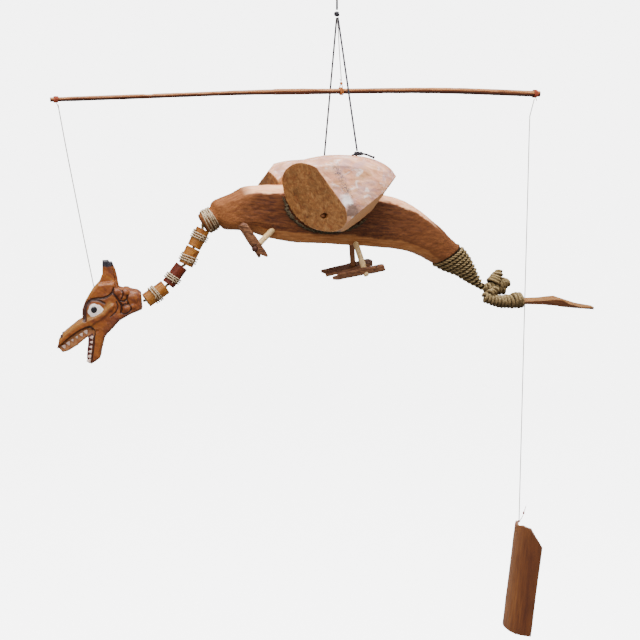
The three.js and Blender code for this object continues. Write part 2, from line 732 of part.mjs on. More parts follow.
// ---------------------------------------------------------------- tail
const CONE_TURNS = 12;
const CONE_SIDES = 10;
const coneUpper = new THREE.CatmullRomCurve3([
  vec(151, 0, -316), vec(162.5, 0, -329), vec(172.8, 0, -347), vec(181.5, 0, -361.5), vec(185, 0, -365.2),
]);
const coneLower = new THREE.CatmullRomCurve3([
  vec(116, 0, -338), vec(129, 0, -345), vec(145.2, 0, -351.5), vec(161.5, 0, -361.2), vec(180, 0, -371.5),
]);

function tailCone() {
  const rings = [];
  for (let i = 0; i <= 2 * CONE_TURNS; i += 1) {
    const t = i / (2 * CONE_TURNS);
    const top = coneUpper.getPoint(t);
    const bottom = coneLower.getPoint(t);
    const swell = i % 2 ? 1.04 : 0.93;
    const centre = top.clone().add(bottom).multiplyScalar(0.5);
    const up = top.clone().sub(centre).multiplyScalar(swell);
    const half = lerp(16.5, 4.2, t) * swell;
    const ring = [];
    for (let k = 0; k < CONE_SIDES; k += 1) {
      const angle = (k / CONE_SIDES) * 2 * Math.PI;
      ring.push(centre.clone().addScaledVector(up, Math.cos(angle)).add(vec(0, half * Math.sin(angle), 0)));
    }
    rings.push(ring);
  }
  return loft(rings);
}

// Lumpy tube: a rope wound round a bent core, joined where its turns press together.
function woundTube(points, radiusAt, rings, sides = 7) {
  const path = new THREE.CatmullRomCurve3(points);
  const frames = path.computeFrenetFrames(rings, false);
  const skin = [];
  for (let r = 0; r <= rings; r += 1) {
    const t = r / rings;
    const centre = path.getPointAt(t);
    const radius = radiusAt(t) * (r % 2 ? 1.07 : 0.92);
    const ring = [];
    for (let i = 0; i < sides; i += 1) {
      const angle = (i / sides) * 2 * Math.PI;
      const offset = frames.normals[r].clone().multiplyScalar(Math.cos(angle));
      offset.addScaledVector(frames.binormals[r], Math.sin(angle));
      ring.push(centre.clone().addScaledVector(offset, radius));
    }
    skin.push(ring);
  }
  return loft(skin);
}

function tailCurl() {
  const out = woundTube(
    [vec(184.5, 0, -370.1), vec(190, 0.5, -370.3), vec(199, 1, -368.5), vec(208, 2, -366), vec(216.5, 2.5, -365)],
    (t) => lerp(4.2, 7.2, Math.min(1, 2.4 * t)) - 1.6 * Math.max(0, t - 0.7) / 0.3,
    8,
  );
  const over = woundTube(
    [vec(214, 3, -363), vec(212, 4, -355), vec(205, 4, -352.6), vec(199.5, 3, -356.5), vec(198, 0, -364)],
    () => 6.3,
    8,
  );
  const back = woundTube(
    [vec(198, -4, -366), vec(191, -8, -369.5), vec(184, -9.6, -373.5), vec(178.8, -9.8, -378.6)],
    () => 4.6,
    4,
  );
  const end = woundTube(
    [vec(178, -9.8, -377.5), vec(189, -10, -381.4), vec(202, -10, -383.6), vec(214, -10, -383), vec(227, -10, -382.6)],
    (t) => lerp(4.4, 9.2, Math.min(1, 1.5 * t)),
    11,
  );
  return join([out, over, back, end]);
}

// Spade: a root that widens to a flat heart and narrows to a blunt tip.
const BLADE_Y = -10;
const BLADE_STATIONS = [
  { x: 227.8, top: -380.5, edge: -384, under: -388, half: 4 },
  { x: 250, top: -380.9, edge: -383.7, under: -389, half: 6 },
  { x: 266, top: -380.6, edge: -382.3, under: -391, half: 10 },
  { x: 275, top: -380.8, edge: -383, under: -392.4, half: 13 },
  { x: 284, top: -383.8, edge: -388.4, under: -393.6, half: 13 },
  { x: 302, top: -390, edge: -393.6, under: -395.8, half: 9 },
  { x: 321.5, top: -393.6, edge: -395, under: -398.2, half: 4 },
];

function tailBlade() {
  return loft(
    BLADE_STATIONS.map(({ x, top, edge, under, half }) => [
      vec(x, BLADE_Y + half, top),
      vec(x, BLADE_Y - half, edge),
      vec(x, BLADE_Y - half * 0.7, under),
      vec(x, BLADE_Y + half * 0.8, top - 3.4),
    ]),
  );
}

addPiece('tail_cone', tailCone(), 'rope');
addPiece('tail_curl', tailCurl(), 'rope');
addPiece('tail_blade', tailBlade(), 'blade');

export default dragonMobile;
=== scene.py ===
import math

import bmesh
import bpy
import numpy as np
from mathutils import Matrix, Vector, noise


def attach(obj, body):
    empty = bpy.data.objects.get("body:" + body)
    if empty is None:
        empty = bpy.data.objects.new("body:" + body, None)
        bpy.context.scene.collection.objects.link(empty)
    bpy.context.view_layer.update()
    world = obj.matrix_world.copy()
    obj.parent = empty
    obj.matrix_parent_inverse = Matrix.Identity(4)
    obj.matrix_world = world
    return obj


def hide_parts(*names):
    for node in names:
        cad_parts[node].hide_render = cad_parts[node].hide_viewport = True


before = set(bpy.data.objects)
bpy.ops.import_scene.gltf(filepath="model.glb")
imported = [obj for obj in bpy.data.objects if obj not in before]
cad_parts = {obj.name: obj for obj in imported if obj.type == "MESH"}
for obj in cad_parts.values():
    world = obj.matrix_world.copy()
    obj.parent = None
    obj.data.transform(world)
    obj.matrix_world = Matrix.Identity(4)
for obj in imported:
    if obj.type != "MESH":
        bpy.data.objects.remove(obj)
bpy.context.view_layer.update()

MM = 0.001
TURN = 2 * math.pi
NEAR, FAR = -1, 1
SIDE_NAMES = {NEAR: "near", FAR: "far"}

# ---------------- driving sizes, as in the model
KNOT_Z = -60
MAIN_CORD_R = 1.2
WING_CORD_R = 1.0
STRING_R = 0.55
WING_SPREAD = 56
WING_KNOT_Z = {NEAR: -207.1, FAR: -214.9}
STICK_LEFT_R = 2.4
STICK_RIGHT_R = 3.7
BODY_HALF_WIDTH = 23
PEG_R = 3.2
PIN_R = 2.6
HEAD_YAW = math.radians(-12)


def vec(*numbers):
    return np.array(numbers, float)


def unit(direction):
    return direction / np.linalg.norm(direction)


HEAD_ORIGIN = vec(-264, 9.5, -380.2)

# ---------------- camera
VIEW_AZIMUTH = math.radians(18)
VIEW_ELEVATION = math.radians(9)
VIEW_DISTANCE = 1400
VIEW_TARGET = vec(-19.4, 0, -396)
VIEW_LENS = 70
VIEW_SENSOR = 36


def show(obj):
    bpy.context.scene.collection.objects.link(obj)
    return obj


def aim(obj, place, target):
    obj.location = Vector(place) * MM
    obj.rotation_euler = Vector(target - place).to_track_quat("-Z", "Y").to_euler()


def make_camera():
    camera = show(bpy.data.objects.new("camera", bpy.data.cameras.new("camera")))
    camera.data.lens = VIEW_LENS
    camera.data.sensor_width = VIEW_SENSOR
    camera.data.clip_start = 0.05
    camera.data.clip_end = 20
    level = math.cos(VIEW_ELEVATION)
    back = vec(-math.sin(VIEW_AZIMUTH) * level, -math.cos(VIEW_AZIMUTH) * level, math.sin(VIEW_ELEVATION))
    aim(camera, VIEW_TARGET + VIEW_DISTANCE * back, VIEW_TARGET)
    bpy.context.scene.camera = camera


make_camera()

# ---------------- finishes
PAPER_GLOW = 5.0  # the backdrop is lit up to plain white
LOOKS = {}  # every finish by its name


def tone(code):
    """A colour such as "a85f22", as the shader's linear red, green, blue and alpha."""
    channels = [int(code[i : i + 2], 16) / 255 for i in (0, 2, 4)]
    return [c / 12.92 if c <= 0.04045 else ((c + 0.055) / 1.055) ** 2.4 for c in channels] + [1]


class Finish:
    """A node material, with short calls for what the finishes share."""

    def __init__(self, name, roughness, specular=0.3):
        self.name = name
        self.material = bpy.data.materials.new(name)
        self.material.use_nodes = True
        self.tree = self.material.node_tree
        self.shader = self.tree.nodes["Principled BSDF"]
        self.shader.inputs["Roughness"].default_value = roughness
        self.shader.inputs["Specular IOR Level"].default_value = specular
        self.place = self.node("ShaderNodeTexCoord").outputs["Object"]

    def node(self, kind, **settings):
        made = self.tree.nodes.new(kind)
        for key, value in settings.items():
            setattr(made, key, value)
        return made

    def feed(self, socket, value):
        if isinstance(value, bpy.types.NodeSocket):
            self.tree.links.new(value, socket)
        else:
            socket.default_value = value

    def noise(self, size, detail=5, roughness=0.6, warp=0.0, turn=(0, 0, 0)):
        """Noise whose features are size mm along each axis."""
        mapping = self.node("ShaderNodeMapping", vector_type="TEXTURE")
        self.feed(mapping.inputs["Vector"], self.place)
        mapping.inputs["Rotation"].default_value = turn
        mapping.inputs["Scale"].default_value = [s * MM for s in size]
        made = self.node("ShaderNodeTexNoise")
        self.feed(made.inputs["Vector"], mapping.outputs["Vector"])
        made.inputs["Scale"].default_value = 1
        made.inputs["Detail"].default_value = detail
        made.inputs["Roughness"].default_value = roughness
        made.inputs["Distortion"].default_value = warp
        return made.outputs[0]

    def ramp(self, value, stops):
        """A run of colours or greys over a value: stops are (position, colour or grey)."""
        made = self.node("ShaderNodeValToRGB")
        elements = made.color_ramp.elements
        while len(elements) < len(stops):
            elements.new(0.5)
        for element, (position, colour) in zip(elements, stops):
            element.position = position
            element.color = tone(colour) if isinstance(colour, str) else [colour] * 3 + [1]
        self.feed(made.inputs["Fac"], value)
        return made.outputs["Color"]

    def mix(self, amount, under, over, blend="MIX"):
        made = self.node("ShaderNodeMix", data_type="RGBA", blend_type=blend)
        for index, value in ((0, amount), (6, under), (7, over)):
            self.feed(made.inputs[index], tone(value) if isinstance(value, str) else value)
        return made.outputs[2]

    def math(self, operation, a, b):
        made = self.node("ShaderNodeMath", operation=operation)
        self.feed(made.inputs[0], a)
        self.feed(made.inputs[1], b)
        return made.outputs[0]

    def mask(self, name):
        """What paint() has laid on the mesh under a name."""
        return self.node("ShaderNodeAttribute", attribute_name=name).outputs["Fac"]

    def tilt(self):
        """From -1 where the surface faces down to 1 where it faces up."""
        split = self.node("ShaderNodeSeparateXYZ")
        self.feed(split.inputs[0], self.node("ShaderNodeNewGeometry").outputs["Normal"])
        return split.outputs["Z"]

    def upward(self):
        """From 0 underneath to 1 on top."""
        return self.math("ADD", self.math("MULTIPLY", self.tilt(), 0.5), 0.5)

    def shaded(self, colour, value, stops, amount=1.0):
        """The colour multiplied by a run of greys or tints over a value."""
        return self.mix(amount, colour, self.ramp(value, stops), "MULTIPLY")

    def spots(self, colour, value, low, high, strength, over):
        """Another colour where the value is above low, at its full strength above high."""
        return self.mix(self.ramp(value, [(low, 0.0), (high, strength)]), colour, over)

    def painted(self, colour, **coats):
        """Coats laid over the colour one after another, each where the mask of its name is."""
        for name, coat in coats.items():
            colour = self.mix(self.mask(name), colour, coat)
        return colour

    def bump(self, height, depth, strength=1.0):
        """Relief of depth mm from a height map; calls add up."""
        made = self.node("ShaderNodeBump")
        made.inputs["Strength"].default_value = strength
        made.inputs["Distance"].default_value = depth * MM
        self.feed(made.inputs["Height"], height)
        normal = self.shader.inputs["Normal"]
        if normal.is_linked:
            self.feed(made.inputs["Normal"], normal.links[0].from_socket)
        self.feed(normal, made.outputs["Normal"])

    def done(self, colour):
        self.feed(self.shader.inputs["Base Color"], colour)
        LOOKS[self.name] = self.material


def wood_base(finish, colours, grain, turn=(0, 0, 0), pore=0.25):
    """Streaked wood: grain is the streaks' size in mm, colours run from dark to light."""
    streak = finish.noise(grain, detail=7, warp=0.5, turn=turn)
    colour = finish.ramp(streak, list(zip(np.linspace(0.32, 0.7, len(colours)), colours)))
    fine = finish.noise([s * 0.3 for s in grain], detail=6, roughness=0.7, turn=turn)
    colour = finish.shaded(colour, fine, [(0.3, 0.55), (0.5, 0.95), (0.65, 1.0)], 0.5)
    cloud = finish.noise((28, 28, 28), detail=2)
    colour = finish.shaded(colour, cloud, [(0.35, 0.72), (0.6, 1.0)], 0.4)
    finish.bump(streak, pore)
    finish.bump(fine, pore * 0.8)
    return colour


def cord_finish(name, dark, light, strand):
    finish = Finish(name, 0.8, 0.2)
    fibre = finish.noise((strand * 3, strand, strand), detail=4, turn=(0, 0.9, 0))
    finish.bump(fibre, strand * 0.3)
    finish.done(finish.ramp(fibre, [(0.3, dark), (0.7, light)]))


def stick_finish():
    finish = Finish("stick_wood", 0.5)
    colour = wood_base(finish, ("7d4a26", "a66c3c", "bd8450"), (26, 1.4, 1.4))
    # Painted shade: the stick is darker towards its underside.
    colour = finish.shaded(colour, finish.upward(), [(0.3, "5c3a28"), (0.5, "a08470"), (0.68, "ffffff")])
    finish.done(finish.spots(colour, finish.noise((9, 3, 3), detail=3), 0.66, 0.74, 0.8, "54301a"))


def head_finish():
    finish = Finish("head_wood", 0.42, 0.4)
    colours = ("5d270d", "7e3f0d", "8a4b0e", "955b1a")
    colour = wood_base(finish, colours, (24, 5, 7), (0, 0.7, 0), 0.12)
    colour = finish.spots(colour, finish.noise((9, 9, 9), detail=3), 0.5, 0.72, 0.5, "53200d")
    flesh = finish.ramp(finish.noise((3, 3, 3)), [(0.35, "894b26"), (0.65, "ac7849")])
    black = finish.ramp(finish.noise((2, 2, 2)), [(0.4, "16131a"), (0.7, "2d2833")])
    # The groove coat is painted shade in the carved lines.
    finish.done(finish.painted(
        colour, pale="986b2b", shade="52210d", flesh=flesh, maroon="4a1712", groove="38180c", black=black
    ))


def body_finish():
    finish = Finish("body_stalk", 0.7, 0.25)
    colours = ("34160e", "542a10", "673818", "754922")
    flank = wood_base(finish, colours, (11, 1.7, 1.7), (0, 0.12, 0), 0.34)
    warm = finish.ramp(finish.noise((16, 1.4, 1.4), 6, turn=(0, -0.5, 0)), [(0.3, "6c3816"), (0.7, "945c2f")])
    facet = finish.ramp(finish.noise((20, 2, 2), 6), [(0.3, "80451e"), (0.55, "a46939"), (0.7, "b37d4e")])
    rind = finish.noise((18, 5, 5), 6, warp=0.6)
    rind = finish.ramp(rind, [(0.3, "e6976b"), (0.5, "ffbb8d"), (0.7, "ffd1a8")])
    scuff = finish.ramp(finish.noise((7, 2.4, 2.4), 5), [(0.52, 0.0), (0.64, 0.75)])
    colour = finish.painted(flank, warm=warm, facet=facet, rind=rind)
    finish.done(finish.mix(finish.math("MULTIPLY", scuff, finish.mask("grey")), colour, "6d6257"))


def wing_finish():
    finish = Finish("wing_stalk", 0.62, 0.3)
    turn = (0, 0.6, 0)
    base = finish.noise((26, 9, 9), 6, warp=0.8, turn=turn)
    rind = finish.ramp(base, [(0.3, "bf7d60"), (0.46, "de9c79"), (0.6, "efb593"), (0.75, "f6c3a5")])
    rind = finish.spots(rind, finish.noise((16, 12, 12), 5, warp=0.6), 0.47, 0.62, 0.75, "b98f8c")
    rind = finish.spots(rind, finish.noise((20, 9, 14), 5, warp=0.9), 0.52, 0.66, 0.7, "c08c5e")
    rind = finish.spots(rind, finish.noise((13, 6, 9), 5, warp=1.2), 0.56, 0.66, 0.8, "f0dcd4")
    rind = finish.spots(rind, finish.noise((14, 0.8, 1.6), 5, turn=turn), 0.56, 0.7, 0.5, "8a5d4c")
    speck = finish.noise((1.6, 1.6, 1.6), 4, warp=1.2)
    marks = finish.math("MULTIPLY", finish.ramp(speck, [(0.49, 0.0), (0.57, 1.0)]), finish.mask("marks"))
    rind = finish.painted(finish.mix(marks, rind, "5b5156"), white="f2e6e2", brown="86695c")
    pith = finish.noise((3.6, 3.6, 7), 7, roughness=0.7, warp=0.8)
    cut = finish.ramp(pith, [(0.3, "734221"), (0.48, "9c6636"), (0.62, "b07b48"), (0.78, "c49261")])
    patch = finish.noise((17, 17, 17), 5, warp=1.0)
    cut = finish.shaded(cut, patch, [(0.34, 0.52), (0.5, 0.86), (0.66, 1.0)], 0.9)
    cut = finish.spots(cut, finish.noise((7, 7, 7), 5, warp=1.0), 0.55, 0.68, 0.6, "7d3d1c")
    cut = finish.spots(cut, finish.noise((1.2, 1.2, 9), 5, warp=1.5), 0.64, 0.7, 0.7, "4f2a12")
    # Painted light: the near wing's downward-facing cut faces are made lighter against their shade.
    cut = finish.painted(cut, under="f2b27a")
    bark = finish.ramp(finish.noise((2, 2, 2), 5), [(0.35, "3f3526"), (0.55, "6d6650"), (0.7, "938c74")])
    finish.bump(base, 0.4, 0.6)
    finish.bump(finish.math("MULTIPLY", pith, finish.mask("cut")), 0.7)
    finish.bump(speck, 0.12)
    finish.done(finish.painted(rind, cut=cut, bark=bark))


def foot_finish():
    finish = Finish("foot_wood", 0.65)
    colours = ("492711", "6c4227", "855737", "936748")
    colour = wood_base(finish, colours, (20, 1.5, 1.5), (0, 0.15, 0))
    # Painted shade: the faces that look upward are darker.
    colour = finish.spots(colour, finish.tilt(), 0.45, 0.75, 0.75, "4e2b1c")
    finish.done(finish.painted(colour, worn="3c2012"))


def peg_finish(name, colours):
    finish = Finish(name, 0.6)
    colour = wood_base(finish, colours, (2, 2, 16), (0, 0.3, 0), 0.15)
    finish.done(finish.painted(colour, tip="47261a"))


def bead_finish(name, colours):
    finish = Finish(name, 0.55, 0.2)
    colour = wood_base(finish, colours, (3, 3, 9), (0, 0.9, 0), 0.15)
    finish.done(finish.spots(colour, finish.noise((1.4, 1.4, 3), 4), 0.64, 0.72, 0.6, colours[0]))


def rope_finish(name, dark, mid, light):
    finish = Finish(name, 0.85, 0.15)
    fibre = finish.noise((3.2, 0.7, 0.7), 6, warp=0.8, turn=(0, 0.5, 0.4))
    colour = finish.ramp(fibre, [(0.28, dark), (0.5, mid), (0.72, light)])
    colour = finish.shaded(colour, finish.noise((14, 14, 14), 3), [(0.35, 0.7), (0.65, 1.0)], 0.7)
    # Painted shade: every rope is darker where it faces down.
    colour = finish.shaded(colour, finish.upward(), [(0.15, "7d7064"), (0.5, "c9c0b6"), (0.85, "ffffff")])
    finish.bump(fibre, 0.35)
    finish.done(colour)


def blade_finish():
    finish = Finish("blade_wood", 0.55)
    colour = wood_base(finish, ("74431d", "916131", "a07441"), (30, 2.2, 2.2), (0, 0.12, 0), 0.2)
    # Painted shade: the blade's lower face is darker and purplish.
    finish.done(finish.shaded(colour, finish.upward(), [(0.4, "b49a9c"), (0.6, "ffffff")]))


def paddle_finish():
    finish = Finish("paddle_bamboo", 0.42, 0.4)
    colours = ("7c4722", "8e562a", "9a6130", "a36a38")
    colour = wood_base(finish, colours, (3.2, 3.2, 60), (0.02, 0.05, 0), 0.12)
    colour = finish.spots(colour, finish.noise((14, 14, 40), 4), 0.45, 0.7, 0.6, "6c3a1c")
    # Painted shade: the side of the pipe turned from the light is darker.
    stain = finish.mix(1.0, colour, "ab9688", "MULTIPLY")
    # The rim coat: a painted highlight, a pale sheen, on the left rim, and a paler inner face.
    rim = finish.ramp(finish.noise((1.2, 1.2, 12), 5), [(0.3, "9c8a78"), (0.6, "c3b6a6"), (0.8, "d9cfc2")])
    finish.done(finish.painted(colour, stain=stain, rim=rim))


def paint_finish(name, dark, light, roughness=0.3):
    finish = Finish(name, roughness, 0.5)
    brush = finish.noise((4, 0.9, 0.9), 4)
    finish.bump(brush, 0.08)
    finish.done(finish.ramp(brush, [(0.35, dark), (0.65, light)]))


def studio_finish():
    finish = Finish("studio_paper", 0.9, 0.0)
    finish.shader.inputs["Emission Color"].default_value = (1, 1, 1, 1)
    finish.shader.inputs["Emission Strength"].default_value = PAPER_GLOW
    finish.done(finish.ramp(finish.noise((300, 300, 300), 2), [(0.3, "fafafa"), (0.7, "fdfdfd")]))


cord_finish("cord", "17161a", "3a383e", 0.8)
cord_finish("string", "8d8782", "c4beb8", 0.4)
cord_finish("red_thread", "6e2a16", "a8533c", 0.5)
cord_finish("copper_thread", "8c4a22", "c2763c", 0.5)
stick_finish()
head_finish()
body_finish()
wing_finish()
foot_finish()
peg_finish("peg_wood", ("b8925f", "cdab78", "dcc090"))
peg_finish("dark_peg_wood", ("5a3218", "7d4c2a", "946040"))
bead_finish("light_bead_wood", ("5f2f12", "874f1a", "975f22", "a06b2b"))
bead_finish("dark_bead_wood", ("381307", "591c07", "692607"))
rope_finish("raffia", "78634a", "cab392", "f6e6cb")
rope_finish("rope", "33240f", "86704a", "dcc69a")
# A very dark bed under wound rope and raffia: painted shade that shows between the turns.
rope_finish("rope_bed_shade", "1c140c", "2f2416", "46382a")
rope_finish("bark", "2c2218", "6b5f4a", "a3977f")
blade_finish()
paddle_finish()
paint_finish("eye_white", "d9c9be", "f0e6de")
paint_finish("pupil_black", "0d0b0e", "1c181e", 0.2)
paint_finish("tooth_white", "b98f7c", "ecd2c4")
studio_finish()


# ---------------- shape helpers
STRAND = 0.58  # a strand's radius, as a share of its rope's
WRAP_STEPS = 36  # in each turn of a wrap
FRAY_R = 0.16


# A shape is a pair: its places, numpy rows in millimetres, and its faces, which number them.
def spline(points, count):
    """count + 1 places along a smooth curve through the points, evenly spread by length."""
    p = np.asarray(points, float)
    p = np.vstack([2 * p[0] - p[1], p, 2 * p[-1] - p[-2]])
    t = np.linspace(0, 1, 24, endpoint=False)[:, None]
    runs = []
    for i in range(1, len(p) - 2):
        x0, x1, x2, x3 = p[i - 1 : i + 3]
        d0, d1, d2 = (max(np.linalg.norm(b - a), 1e-6) ** 0.5 for a, b in ((x0, x1), (x1, x2), (x2, x3)))
        m1 = ((x1 - x0) / d0 - (x2 - x0) / (d0 + d1) + (x2 - x1) / d1) * d1
        m2 = ((x2 - x1) / d1 - (x3 - x1) / (d1 + d2) + (x3 - x2) / d2) * d1
        square = -3 * x1 + 3 * x2 - 2 * m1 - m2
        cube = 2 * x1 - 2 * x2 + m1 + m2
        runs.append(x1 + m1 * t + square * t**2 + cube * t**3)
    return resample(np.vstack([*runs, p[-2:-1]]), count)


def run_of(path):
    """How far along its length each place of a path is."""
    return np.r_[0, np.cumsum(np.linalg.norm(np.diff(path, axis=0), axis=1))]


def resample(path, count):
    run = run_of(path)
    at = np.linspace(0, run[-1], count + 1)
    return np.column_stack([np.interp(at, run, path[:, k]) for k in range(path.shape[1])])


def smoothed_ring(corners, count):
    """A closed line through the corners, its corners eased; the first corner comes again last."""
    ring = resample(corners, count)[:-1]
    return (np.roll(ring, 1, axis=0) + 2 * ring + np.roll(ring, -1, axis=0)) / 4


def frames(path):
    """Two cross directions at each place of a path, carried along it without twisting."""
    tangent = np.gradient(path, axis=0)
    tangent /= np.linalg.norm(tangent, axis=1)[:, None]
    side = np.zeros_like(path)
    across = np.cross(tangent[0], vec(0, 0, 1) if abs(tangent[0][2]) < 0.9 else vec(0, 1, 0))
    for i, along in enumerate(tangent):
        across = unit(across - along * across.dot(along))
        side[i] = across
    return side, np.cross(tangent, side)


def around(count):
    """Angles spread evenly over a full turn."""
    return np.linspace(0, TURN, count, endpoint=False)


def skin(rings):
    """A closed surface over rings of equal count, with a hub in the middle of each end."""
    rings = np.asarray(rings)
    rows, count = rings.shape[:2]
    faces = []
    for a in range((rows - 1) * count):
        b = a + 1 if (a + 1) % count else a + 1 - count
        faces.append((a, b, b + count, a + count))
    hub, last = rows * count, (rows - 1) * count
    for i in range(count):
        j = (i + 1) % count
        faces += [(hub, j, i), (hub + 1, last + i, last + j)]
    return np.vstack([rings.reshape(-1, 3), rings[0].mean(axis=0), rings[-1].mean(axis=0)]), faces


def sweep(path, radius, sides=12, flat=1.0):
    """A tube along a path; radius is one number or one for each place."""
    path = np.asarray(path, float)
    size = np.broadcast_to(radius, len(path))[:, None, None]
    side, over = frames(path)
    angle = around(sides)[None, :, None]
    return skin(path[:, None] + size * (np.cos(angle) * side[:, None] + flat * np.sin(angle) * over[:, None]))


def rounded(path, radius, sides=12, flat=1.0):
    """A sweep whose ends are domed."""
    path = np.asarray(path, float)
    run = run_of(path)
    reach = np.minimum(run, run[-1] - run) / np.max(radius)
    dome = np.sqrt(np.clip(1 - (1 - np.clip(reach, 0, 1)) ** 2, 0.02, 1))
    return sweep(path, np.broadcast_to(radius, len(path)) * dome, sides, flat)


def helix(core, radius, turns, steps, start=0.0):
    """A helix wound round a core path; radius is one number or one for each step."""
    count = int(turns * steps)
    centre = resample(np.asarray(core, float), count)
    side, over = frames(centre)
    angle = (start + TURN * turns * np.linspace(0, 1, count + 1))[:, None]
    size = np.broadcast_to(radius, count + 1)[:, None]
    return centre + size * (np.cos(angle) * side + np.sin(angle) * over)


def strands(path, offset, pitch, plies):
    """The paths of a rope's strands, offset from its middle and turning once in each pitch."""
    side, over = frames(path)
    for ply in range(plies):
        angle = (TURN * (run_of(path) / pitch + ply / plies))[:, None]
        yield path + offset * (np.cos(angle) * side + np.sin(angle) * over)


def plied(path, radius, plies, pitch, sides=6):
    """A rope of twisted strands along a path; pitch is in radii."""
    lines = strands(path, radius * 0.48, pitch * radius, plies)
    return [sweep(line, radius * STRAND, sides) for line in lines]


def winding(centre, axis, inner, thread_r, turns, plies=1, seed=0.0, loose=0.1, pitch=2.0):
    """Turns of thread side by side round a core, a little uneven; pitch is in radii."""
    half = axis * turns * pitch * thread_r / 2
    t = np.linspace(0, turns, int(turns * WRAP_STEPS) + 1)
    swing = np.array([noise.noise((k * 1.3, seed, 2.1)) for k in t])
    size = inner + thread_r * (1 + 0.25 * np.abs(swing))
    path = helix([centre - half, centre + half], size, turns, WRAP_STEPS, seed)
    path = path + axis * (loose * thread_r * 4 * swing)[:, None]
    return plied(path, thread_r, plies, 7) if plies > 1 else [rounded(path, thread_r, 8)]


def frays(path, count, reach, seed):
    """Loose fibres that stand out from a rope."""
    chance = np.random.default_rng(seed)
    for k in chance.integers(1, len(path) - 1, count):
        along = unit(path[k + 1] - path[k - 1])
        out = chance.normal(size=3)
        out = unit(out - along * out.dot(along))
        start = path[k] + out * reach * 0.3
        tip = start + out * reach * chance.uniform(0.4, 1.0) + along * reach * chance.uniform(-1.2, 1.2)
        bend = (start + tip) / 2 + out * reach * 0.25
        yield sweep(spline([start, bend, tip], 5), FRAY_R * np.linspace(1, 0.4, 6), 5)


def lump(centre, size, across=20, down=12, power=2.0, pole=0.12):
    """A rounded lump, an ellipsoid where power is 2, cut flat within an angle of its poles."""
    tilt = np.linspace(pole - math.pi / 2, math.pi / 2 - pole, down)[:, None]
    turn = around(across)
    level = np.cos(tilt)
    ball = np.stack([np.cos(turn) * level, np.sin(turn) * level, np.sin(tilt) + 0 * turn], axis=2)
    ball /= (np.abs(ball) ** power).sum(axis=2, keepdims=True) ** (1 / power)
    return skin(centre + ball * size)


def knot_turns(centre, size, radius, seed=0.0):
    """The crossing turns of a pulled-up knot."""
    t = np.linspace(0.15, TURN - 0.15, 90) + seed
    loop = np.column_stack([
        np.sin(t) + 2 * np.sin(2 * t), np.cos(t) - 2 * np.cos(2 * t), -np.sin(3 * t) * 1.6,
    ])
    return rounded(np.asarray(centre) + loop / 3 * np.asarray(size), radius, 10)


class Piece:
    """Gathers the shapes of one piece and makes it."""

    def __init__(self, *shapes):
        self.verts = []
        self.faces = []
        self.count = 0
        self.add(*shapes)

    def add(self, *shapes):
        for verts, faces in shapes:
            self.verts.append(verts)
            self.faces += [[i + self.count for i in face] for face in faces]
            self.count += len(verts)
        return self

    def put(self, placing):
        """Moves everything gathered so far by a function of its places."""
        self.verts = [placing(np.vstack(self.verts))]
        return self

    def make(self, name, look, slot, *nodes):
        mesh = bpy.data.meshes.new(name)
        mesh.from_pydata((np.vstack(self.verts) * MM).tolist(), [], self.faces)
        mesh.materials.append(LOOKS[look])
        mesh.shade_smooth()
        obj = show(bpy.data.objects.new(name, mesh))
        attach(obj, "root")
        if nodes:
            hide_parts(*nodes)
        return obj


def settle(obj):
    """Makes the result of an object's modifiers its own mesh."""
    mesh = bpy.data.meshes.new_from_object(obj.evaluated_get(bpy.context.evaluated_depsgraph_get()))
    obj.modifiers.clear()
    old, obj.data = obj.data, mesh
    bpy.data.meshes.remove(old)


def remesh(obj, voxel, soften):
    """One even skin over the object's shapes, its edges worn by about a voxel."""
    cover = obj.modifiers.new("skin", "REMESH")
    cover.mode = "VOXEL"
    cover.voxel_size = voxel * MM
    obj.modifiers.new("soften", "SMOOTH").iterations = soften
    settle(obj)
    obj.data.shade_smooth()


def bore_out(obj, look, start, end, radius, sides):
    """Cuts a round hole from start to end; its wall has the given look."""
    tool = Piece(sweep([start, end], radius, sides)).make("bore", look, look)
    hole = obj.modifiers.new("bore", "BOOLEAN")
    hole.operation = "DIFFERENCE"
    hole.object = tool
    settle(obj)
    bpy.data.objects.remove(tool)


def rework(obj, *planes):
    """Takes off what lies beyond each plane, closes the cuts and turns every face outward."""
    bm = bmesh.new()
    bm.from_mesh(obj.data)
    for normal, distance in planes:
        out = unit(normal)
        found = bmesh.ops.bisect_plane(
            bm, geom=bm.verts[:] + bm.edges[:] + bm.faces[:], plane_co=out * distance * MM, plane_no=out,
            clear_outer=True,
        )
        edges = [e for e in found["geom_cut"] if isinstance(e, bmesh.types.BMEdge)]
        bmesh.ops.edgenet_fill(bm, edges=edges)
    if planes:
        bmesh.ops.triangulate(bm, faces=[f for f in bm.faces if len(f.verts) > 4])
    bmesh.ops.recalc_face_normals(bm, faces=bm.faces[:])
    bm.to_mesh(obj.data)
    bm.free()


def read(numbers, name):
    """Three numbers for each item of a mesh's collection."""
    flat = np.empty(len(numbers) * 3)
    numbers.foreach_get(name, flat)
    return flat.reshape(-1, 3)


def places(obj):
    return read(obj.data.vertices, "co") / MM


def normals(obj):
    return read(obj.data.vertex_normals, "vector")


def relief(obj, height):
    """Moves each vertex out along its normal by its height in mm."""
    moved = places(obj) + normals(obj) * np.asarray(height)[:, None]
    obj.data.vertices.foreach_set("co", (moved * MM).ravel())
    obj.data.update()


def paint(obj, name, values):
    """A mask that the finish reads by name."""
    attribute = obj.data.attributes.new(name, "FLOAT", "POINT")
    attribute.data.foreach_set("value", np.clip(values, 0, 1))


def grain(points, size, seed=0.0, octaves=3):
    """Noise from about -1 to 1 at each place, with features of size mm along each axis."""
    scaled = points / np.asarray(size, float) + seed
    return np.array([noise.fractal(q, 0.6, 2.1, octaves) for q in scaled.tolist()])


